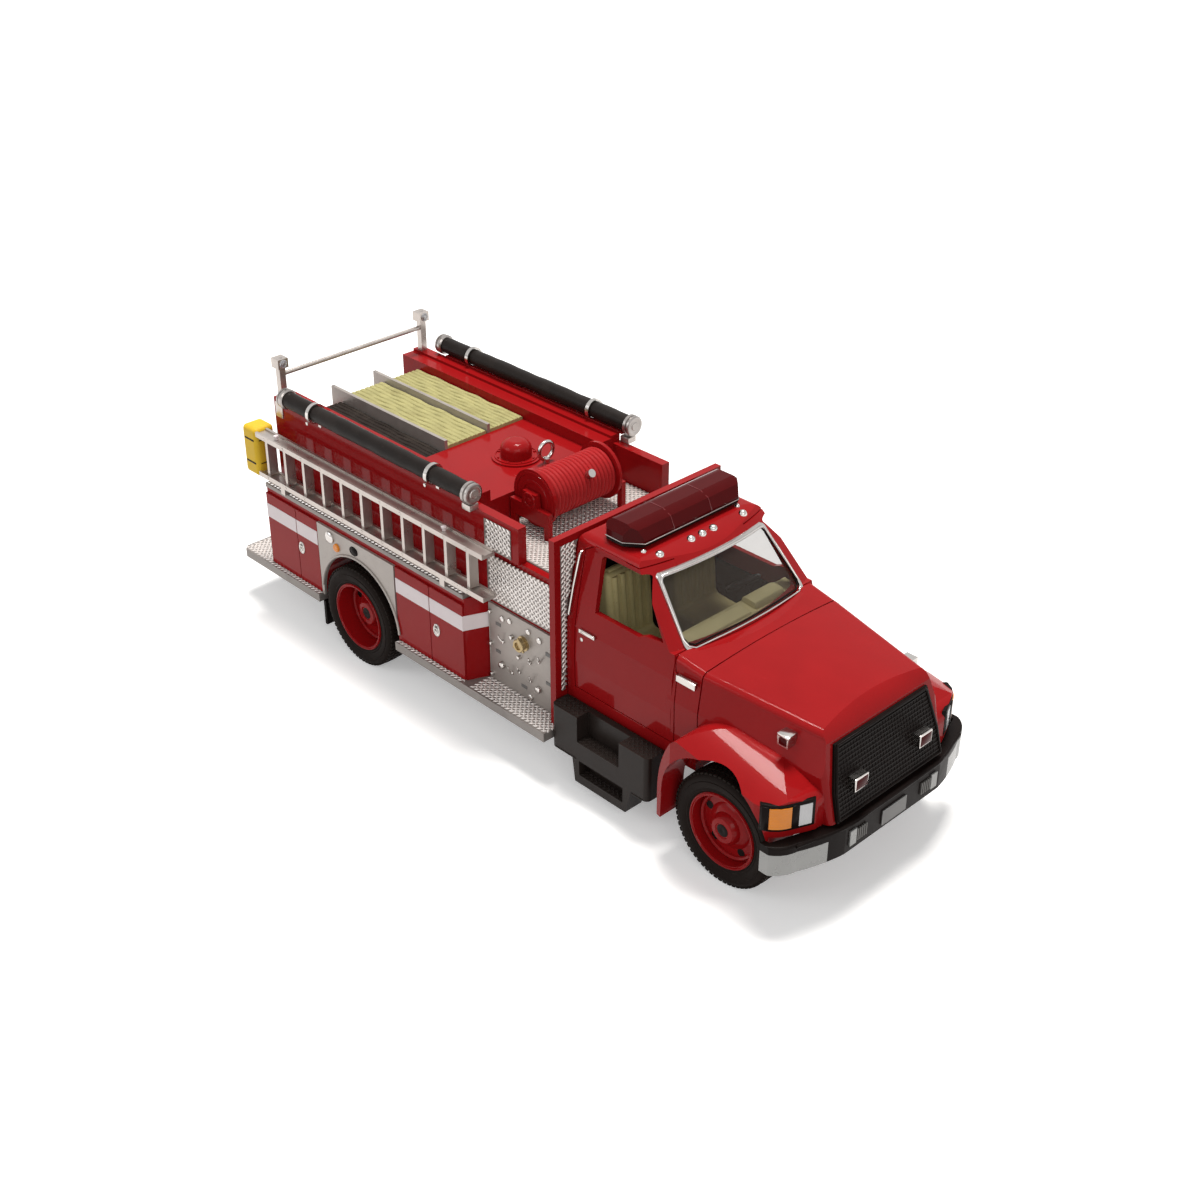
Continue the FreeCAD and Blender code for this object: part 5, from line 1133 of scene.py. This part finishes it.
class ENGINE_OT_grille(bpy.types.Operator):
    """Slats, bars and frame of the grille, and the faces of its lamps"""
    bl_idname = "engine.grille"
    bl_label = "Grille"

    def execute(self, context):
        slats = []
        for k in range(16):
            z = 21.2 + 0.84 * k
            half = grille_half(z) - 0.7
            slats.append(plate([(grille_face(z) - 0.1, z), (grille_face(z) + 0.12, z + 0.06),
                                (grille_face(z) + 0.12, z + 0.28), (grille_face(z) - 0.1, z + 0.34)], "XZ",
                               -half, half))
        for k in range(-16, 17):
            y, top = 0.86 * k, 34.0 if abs(k) < 15 else 30.5
            slats.append(plate([(grille_face(20.9) - 0.1, 20.9), (grille_face(20.9) + 0.1, 20.9),
                                (grille_face(top) + 0.1, top), (grille_face(top) - 0.1, top)], "XZ", y - 0.12,
                               y + 0.12))
        piece("grille_slats", slats, "black")
        rim = [(grille_face(z) + 0.05, y, z) for y, z in ((-15.5, 20.6), (-15.2, 26.0), (-13.45, 34.3),
                                                          (-13.1, 34.7), (13.1, 34.7), (13.45, 34.3),
                                                          (15.2, 26.0), (15.5, 20.6), (-15.5, 20.6))]
        piece("grille_rim", [wire(rim, 0.3)], "black", angle=60)
        face = block((at(129.6), at(129.86)), (-11.42, -8.08), (25.4, 27.7), 0.12)
        rear = block((at(129.2), at(129.78)), (-11.68, -7.82), (25.12, 27.98), 0.16)
        piece("grille_lamp_faces", both_sides([face]), "lens")
        piece("grille_lamp_rims", both_sides([rear]), "chrome")
        side = block((at(117.5), at(119.2)), (-19.55, -19.3), (33.85, 35.3), 0.1)
        cover = block((at(116.95), at(119.7)), (-19.46, -16.8), (35.3, 36.06), 0.22)
        piece("fender_lamp_faces", both_sides([side]), "lens")
        piece("fender_lamp_covers", both_sides([cover]), "chrome")
        return {"FINISHED"}


class ENGINE_OT_front_lamps(bpy.types.Operator):
    """Black surrounds of the head lamps and turn lamps, partly painted shade of the recess they sit in"""
    bl_idname = "engine.front_lamps"
    bl_label = "Front lamps"

    def execute(self, context):
        # The black band and bars are partly the lamps' own black surround and partly painted shade of their
        # recess.
        plan = ((121.2, -28.32), (121.6, -28.21), (123.05, -27.38), (124.27, -26.17), (125.16, -24.69),
                (126.97, -20.5), (127.2, -19.8))
        band = [(at(x), y) for x, y in plan] + [(at(x) - 0.6, y + 0.7) for x, y in reversed(plan)]
        bars = [plate(band, "XY", 20.95, 26.85, 0.12)]
        for outer, inner in (((125.55, -24.35), (126.1, -22.98)), ((121.7, -28.42), (122.95, -27.72))):
            bars.append(plate([(at(outer[0]) + 0.05, outer[1]), (at(inner[0]) + 0.05, inner[1]),
                               (at(inner[0]) - 0.6, inner[1] + 0.3), (at(outer[0]) - 0.6, outer[1] + 0.3)],
                              "XY", 21.3, 26.5, 0.08, 1))
        piece("lamp_surrounds_and_recess_shade", both_sides(bars), "black", angle=60)
        return {"FINISHED"}


class ENGINE_OT_bumper(bpy.types.Operator):
    """Pads, grips and roll of the bumper, and the rim of the blank plate"""
    bl_idname = "engine.bumper"
    bl_label = "Bumper trim"

    def execute(self, context):
        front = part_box("bumper")[1].x / MM
        pads = both_sides([block((front - 0.5, front + 0.02), (-13.4, -11.5), (14.2, 17.7), 0.08, 1)])
        piece("bumper_pads", pads, "bright")
        ribs = [block((front - 0.5, front), (-11.2 + 0.62 * k, -10.85 + 0.62 * k), (14.5, 17.3), 0.06, 1)
                for k in range(5)]
        piece("bumper_grips", both_sides(ribs), "worn")
        low, high = millimetres(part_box("number_plate"))
        rim = [(high.x - 0.14, y, z) for y, z in ((low.y, low.z), (high.y, low.z), (high.y, high.z),
                                                  (low.y, high.z), (low.y, low.z))]
        piece("number_plate_rim", [wire(rim, 0.13)], "bright", angle=60)
        roll = [(front - 3.4, -25.1, 18.9), (front - 0.6, -14.6, 18.95), (front - 0.45, 0, 18.95),
                (front - 0.6, 14.6, 18.95), (front - 3.4, 25.1, 18.9)]
        piece("bumper_roll", [wire(roll, 0.35, 1.0)], "black", angle=60)
        return {"FINISHED"}


class ENGINE_OT_steps(bpy.types.Operator):
    """Raised grip on the treads of the cab steps, and ribs on the mudflaps"""
    bl_idname = "engine.steps"
    bl_label = "Cab steps"

    def execute(self, context):
        rise = 0.12
        grips = [tread_field("XY", 19.2, rise, (at(63.7), at(70.8)), (-25.9, -21.9)),
                 tread_field("XY", 19.2, rise, (at(83.3), at(90.7)), (-25.9, -21.9)),
                 tread_field("XY", 13.4, rise, (at(71.2), at(82.8)), (-26.1, -23.2)),
                 tread_field("XY", 5.4, rise, (at(71.8), at(84.0)), (-26.1, -24.0))]
        lips = [wire([(at(x0), -26.22, z), (at(x1), -26.22, z)], 0.14) for x0, x1, z in (
            (71.2, 82.8, 13.3), (71.8, 84.0, 5.3), (64.6, 70.6, 8.95), (86.6, 89.8, 8.95))]
        piece("step_grips", both_sides(grips + lips), "step", angle=20)
        low, high = millimetres(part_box("mudflaps"))
        ribs = [block((low.x - 0.18, low.x + 0.1), (low.y + 0.8 + 1.6 * k, low.y + 1.3 + 1.6 * k),
                      (low.z + 0.8, high.z - 0.8), 0.1, 1) for k in range(7)]
        piece("mudflap_ribs", both_sides(ribs), "black")
        return {"FINISHED"}


# ---- tail and top --------------------------------------------------------------------------------------

class ENGINE_OT_tail(bpy.types.Operator):
    """Grab rails, lamp rings and centre door at the back, and the lamps on the posts"""
    bl_idname = "engine.tail"
    bl_label = "Tail"

    def execute(self, context):
        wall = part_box("rear_panel")[0].x / MM
        rails = both_sides([wire([(wall + 0.2, -17.6, 46.0), (wall - 1.3, -17.6, 45.8),
                                  (wall - 1.3, -17.6, 22.2), (wall + 0.2, -17.6, 22.0)], 0.38, 0.5)])
        bar = wire([(wall + 0.2, -12.0, 41.0), (wall - 1.3, -11.8, 41.0), (wall - 1.3, 11.8, 41.0),
                    (wall + 0.2, 12.0, 41.0)], 0.38, 0.5)
        piece("tail_rails", rails + [bar], "chrome", angle=60)
        door = block((wall - 0.32, wall + 0.1), (-10.0, 10.0), (14.6, 35.5), 0.15)
        piece("tail_door", [door], "enamel")
        knob = stud(wall, ((-0.25, 1.2), (-0.5, 1.1), (-0.6, 0.8), (-0.45, 0.5), (-0.46, 0.02)), "X",
                    (0, 7.6, 25.0), 24)
        hinges = [block((wall - 0.5, wall - 0.2), (-10.0, -8.8), (z, z + 1.6), 0.1, 1) for z in (17.0, 30.5)]
        piece("tail_door_fittings", [knob] + hinges, "chrome")
        low, high = millimetres(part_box("tail_lamps"))
        left, right, foot, head = low.y + 0.1, low.y + 2.6, low.z + 0.1, high.z - 0.1
        ring = wire([(low.x - 0.02, y, z) for y, z in ((left, foot), (right, foot), (right, head), (left, head),
                                                       (left, foot))], 0.16)
        piece("tail_lamp_rings", both_sides([ring]), "chrome", angle=60)
        low, high = millimetres(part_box("lamp_posts"))
        middle = (low.x + high.x) / 2
        faces = []
        for end, way in ((low.x, -1), (high.x, 1)):
            faces.append(turned([(end - way * 0.05, 1.05), (end + way * 0.12, 1.0), (end + way * 0.2, 0.8),
                                 (end + way * 0.1, 0.7), (end + way * 0.22, 0.4), (end + way * 0.24, 0.02)],
                                "X", (0, low.y + 1.4, high.z - 1.15), 24))
        piece("post_lamp_faces", both_sides(faces), "lamp")
        caps = [stud(high.z, ((-0.02, 1.25), (0.0, 0.9), (0.0, 0.02)), "Z", (middle, low.y + 1.4, 0), 4)]
        piece("post_caps", both_sides(caps), "ladder")
        return {"FINISHED"}


class ENGINE_OT_walls(bpy.types.Operator):
    """Plates behind the partition's tread, wall brackets, troughs and screws, and the dome's bolts"""
    bl_idname = "engine.walls"
    bl_label = "Body walls"

    def execute(self, context):
        low, high = millimetres(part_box("partition"))
        front = both_sides([block((high.x - 0.34, high.x - 0.26), (-22.5, -21.15), (19.6, 53.9), 0.03, 1)])
        rear = block((low.x + 0.26, low.x + 0.34), (-22.5, 22.5), (44.3, 53.9), 0.03, 1)
        wing = [(-21.25, 24.0), (-21.32, 28.0), (-21.15, 36.0), (-20.35, 41.7), (-18.1, 53.1), (-17.7, 53.9),
                (-22.5, 53.9), (-22.5, 24.0)]
        wings = both_sides([plate(wing, "YZ", high.x - 0.02, high.x + 0.07)])
        piece("partition_plates", front + wings + [rear], "tread_base")
        step = block((at(-34.7), at(-31.9)), (-22.3, -21.9), (49.6, 53.4), 0.15)
        bracket = block((at(34.7), at(37.3)), (-24.2, -21.7), (52.35, 53.8), 0.2)
        piece("wall_brackets", both_sides([step, bracket]), "ladder")
        trough = plate([(-23.7, 54.15), (-23.7, 54.42), (-22.9, 54.36), (-21.95, 54.4), (-21.95, 54.0),
                        (-22.9, 53.9)], "YZ", at(-26.0), at(35.0), 0.06, 1)
        piece("hose_troughs", both_sides([trough]), "enamel")
        screws = []
        for station in (-17.0, 24.7):
            screws.append(turned([(-25.55, 0.42), (-25.8, 0.4), (-25.88, 0.25), (-25.88, 0.02)], "Y",
                                 (at(station), 0, 54.6), 10))
        piece("strap_screws", both_sides(screws), "chrome")
        ring = turned([(51.4, 4.9), (51.62, 4.85), (51.62, 4.6), (51.4, 4.55)], "Z", (at(22.4), 1.8, 0), 40)
        bolts = []
        for k in range(8):
            turn = 2 * math.pi * (k + 0.5) / 8
            bolts.append(turned([(51.35, 0.3), (51.6, 0.3), (51.68, 0.2), (51.68, 0.02)], "Z",
                                (at(22.4) + 4.25 * math.cos(turn), 1.8 + 4.25 * math.sin(turn), 0), 6))
        piece("tower_bolts", bolts + [ring], "enamel")
        return {"FINISHED"}


# ---- stage -------------------------------------------------------------------------------------------------

def lamp(name, place, aim, size, power, tint):
    """A rectangular lamp at a place, aimed at another; both in millimetres."""
    deselect()
    bpy.ops.object.light_add(type="AREA", location=[v * MM for v in place])
    light = bpy.context.object
    light.name = name
    light.data.shape = "RECTANGLE"
    light.data.size, light.data.size_y = size[0] * MM, size[1] * MM
    light.data.energy = power
    light.data.color = tint
    light.rotation_euler = (Vector(aim) - Vector(place)).to_track_quat("-Z", "Y").to_euler()
    return light


def sight(tree):
    """One where the eye, a mirror or glass looks at the stage, and nought for the light that it throws."""
    path = tree.nodes.new("ShaderNodeLightPath")
    both = maths(tree, "MAXIMUM", path.outputs["Is Camera Ray"], path.outputs["Is Glossy Ray"])
    return maths(tree, "MAXIMUM", both, path.outputs["Is Transmission Ray"])


def floor_finish():
    """Pale floor: plain by bounce, and white to the eye away from the shadow."""
    made = bpy.data.materials.new("Floor")
    made.use_nodes = True
    tree = made.node_tree
    shader = tree.nodes["Principled BSDF"]
    where = tree.nodes.new("ShaderNodeTexCoord")
    distance = shade_node(tree, "ShaderNodeVectorMath", operation="LENGTH")
    tree.links.new(where.outputs["Object"], distance.inputs[0])
    spread = ramp(tree, distance.outputs["Value"], 0.12, 0.45, 0.30, 1.0)
    seen = sight(tree)
    grey = maths(tree, "MULTIPLY_ADD", seen, 0.45, 0.45)
    paint = tree.nodes.new("ShaderNodeCombineColor")
    for label in ("Red", "Green", "Blue"):
        tree.links.new(grey, paint.inputs[label])
    tree.links.new(paint.outputs[0], shader.inputs["Base Color"])
    shader.inputs["Roughness"].default_value = 0.9
    shader.inputs["Specular IOR Level"].default_value = 0.1
    shader.inputs["Emission Color"].default_value = (1.0, 1.0, 1.0, 1.0)
    tree.links.new(maths(tree, "MULTIPLY", seen, spread), shader.inputs["Emission Strength"])
    return made


class ENGINE_OT_studio(bpy.types.Operator):
    """Sets up the floor, the soft lamps and the camera"""
    bl_idname = "engine.studio"
    bl_label = "Studio"

    def execute(self, context):
        deselect()
        bpy.ops.mesh.primitive_plane_add(size=8.0, location=(0, 0, 0))
        floor = bpy.context.object
        floor.name = "floor"
        dress(floor, floor_finish())
        lamp("Key", (-150, 250, 1500), (0, 0, 25), (480, 400), 26.0, (1.0, 0.97, 0.93))
        lamp("Fill", (900, -500, 700), (20, 0, 25), (700, 500), 3.5, (1.0, 0.98, 0.95))
        lamp("Side", (-500, -1000, 600), (0, 0, 25), (700, 500), 3.0, (0.97, 0.98, 1.0))
        world = context.scene.world or bpy.data.worlds.new("World")
        context.scene.world = world
        world.use_nodes = True
        tree = world.node_tree
        tree.nodes["Background"].inputs["Color"].default_value = (1.0, 1.0, 1.0, 1.0)
        level = maths(tree, "MULTIPLY_ADD", sight(tree), 0.72, 0.28)
        tree.links.new(level, tree.nodes["Background"].inputs["Strength"])
        heading, climb, roll = (math.radians(angle) for angle in (46.24, 30.03, -0.11))
        camera = bpy.data.cameras.new("Camera")
        holder = bpy.data.objects.new("Camera", camera)
        context.scene.collection.objects.link(holder)
        camera.lens = 50.56
        camera.sensor_width = 36.0
        camera.shift_x, camera.shift_y = 0.0104, -0.0272
        turn = (Matrix.Rotation(heading, 4, "Z") @ Matrix.Rotation(math.pi / 2 - climb, 4, "X")
                @ Matrix.Rotation(roll, 4, "Z"))
        holder.matrix_world = Matrix.Translation((0.23174, -0.21745, 0.21545)) @ turn
        context.scene.camera = holder
        context.scene.view_settings.view_transform = "Standard"
        return {"FINISHED"}


STEPS = (ENGINE_OT_finishes, ENGINE_OT_tread, ENGINE_OT_tyres, ENGINE_OT_rims, ENGINE_OT_stripes,
         ENGINE_OT_handles, ENGINE_OT_fender_trim, ENGINE_OT_pump_panel, ENGINE_OT_ladder_fittings,
         ENGINE_OT_hose_bed, ENGINE_OT_suction_hoses, ENGINE_OT_reel, ENGINE_OT_screen_trim,
         ENGINE_OT_cab_fittings, ENGINE_OT_cab_inside, ENGINE_OT_light_bar, ENGINE_OT_grille,
         ENGINE_OT_front_lamps, ENGINE_OT_bumper, ENGINE_OT_steps, ENGINE_OT_tail, ENGINE_OT_walls,
         ENGINE_OT_studio)


class ENGINE_PT_panel(bpy.types.Panel):
    """Lists the steps in the order in which they are used"""
    bl_label = "Fire Engine"
    bl_idname = "ENGINE_PT_panel"
    bl_space_type = "VIEW_3D"
    bl_region_type = "UI"
    bl_category = "Fire Engine"

    def draw(self, context):
        for step in STEPS:
            self.layout.operator(step.bl_idname)


CLASSES = (EngineColours, EngineSizes) + STEPS + (ENGINE_PT_panel,)


def register():
    for cls in CLASSES:
        bpy.utils.register_class(cls)
    bpy.types.Scene.engine_colours = PointerProperty(type=EngineColours)
    bpy.types.Scene.engine_sizes = PointerProperty(type=EngineSizes)


def unregister():
    del bpy.types.Scene.engine_colours
    del bpy.types.Scene.engine_sizes
    for cls in reversed(CLASSES):
        bpy.utils.unregister_class(cls)


def main():
    register()
    for step in STEPS:
        area, name = step.bl_idname.split(".")
        getattr(getattr(bpy.ops, area), name)()


if __name__ == "__main__":
    main()
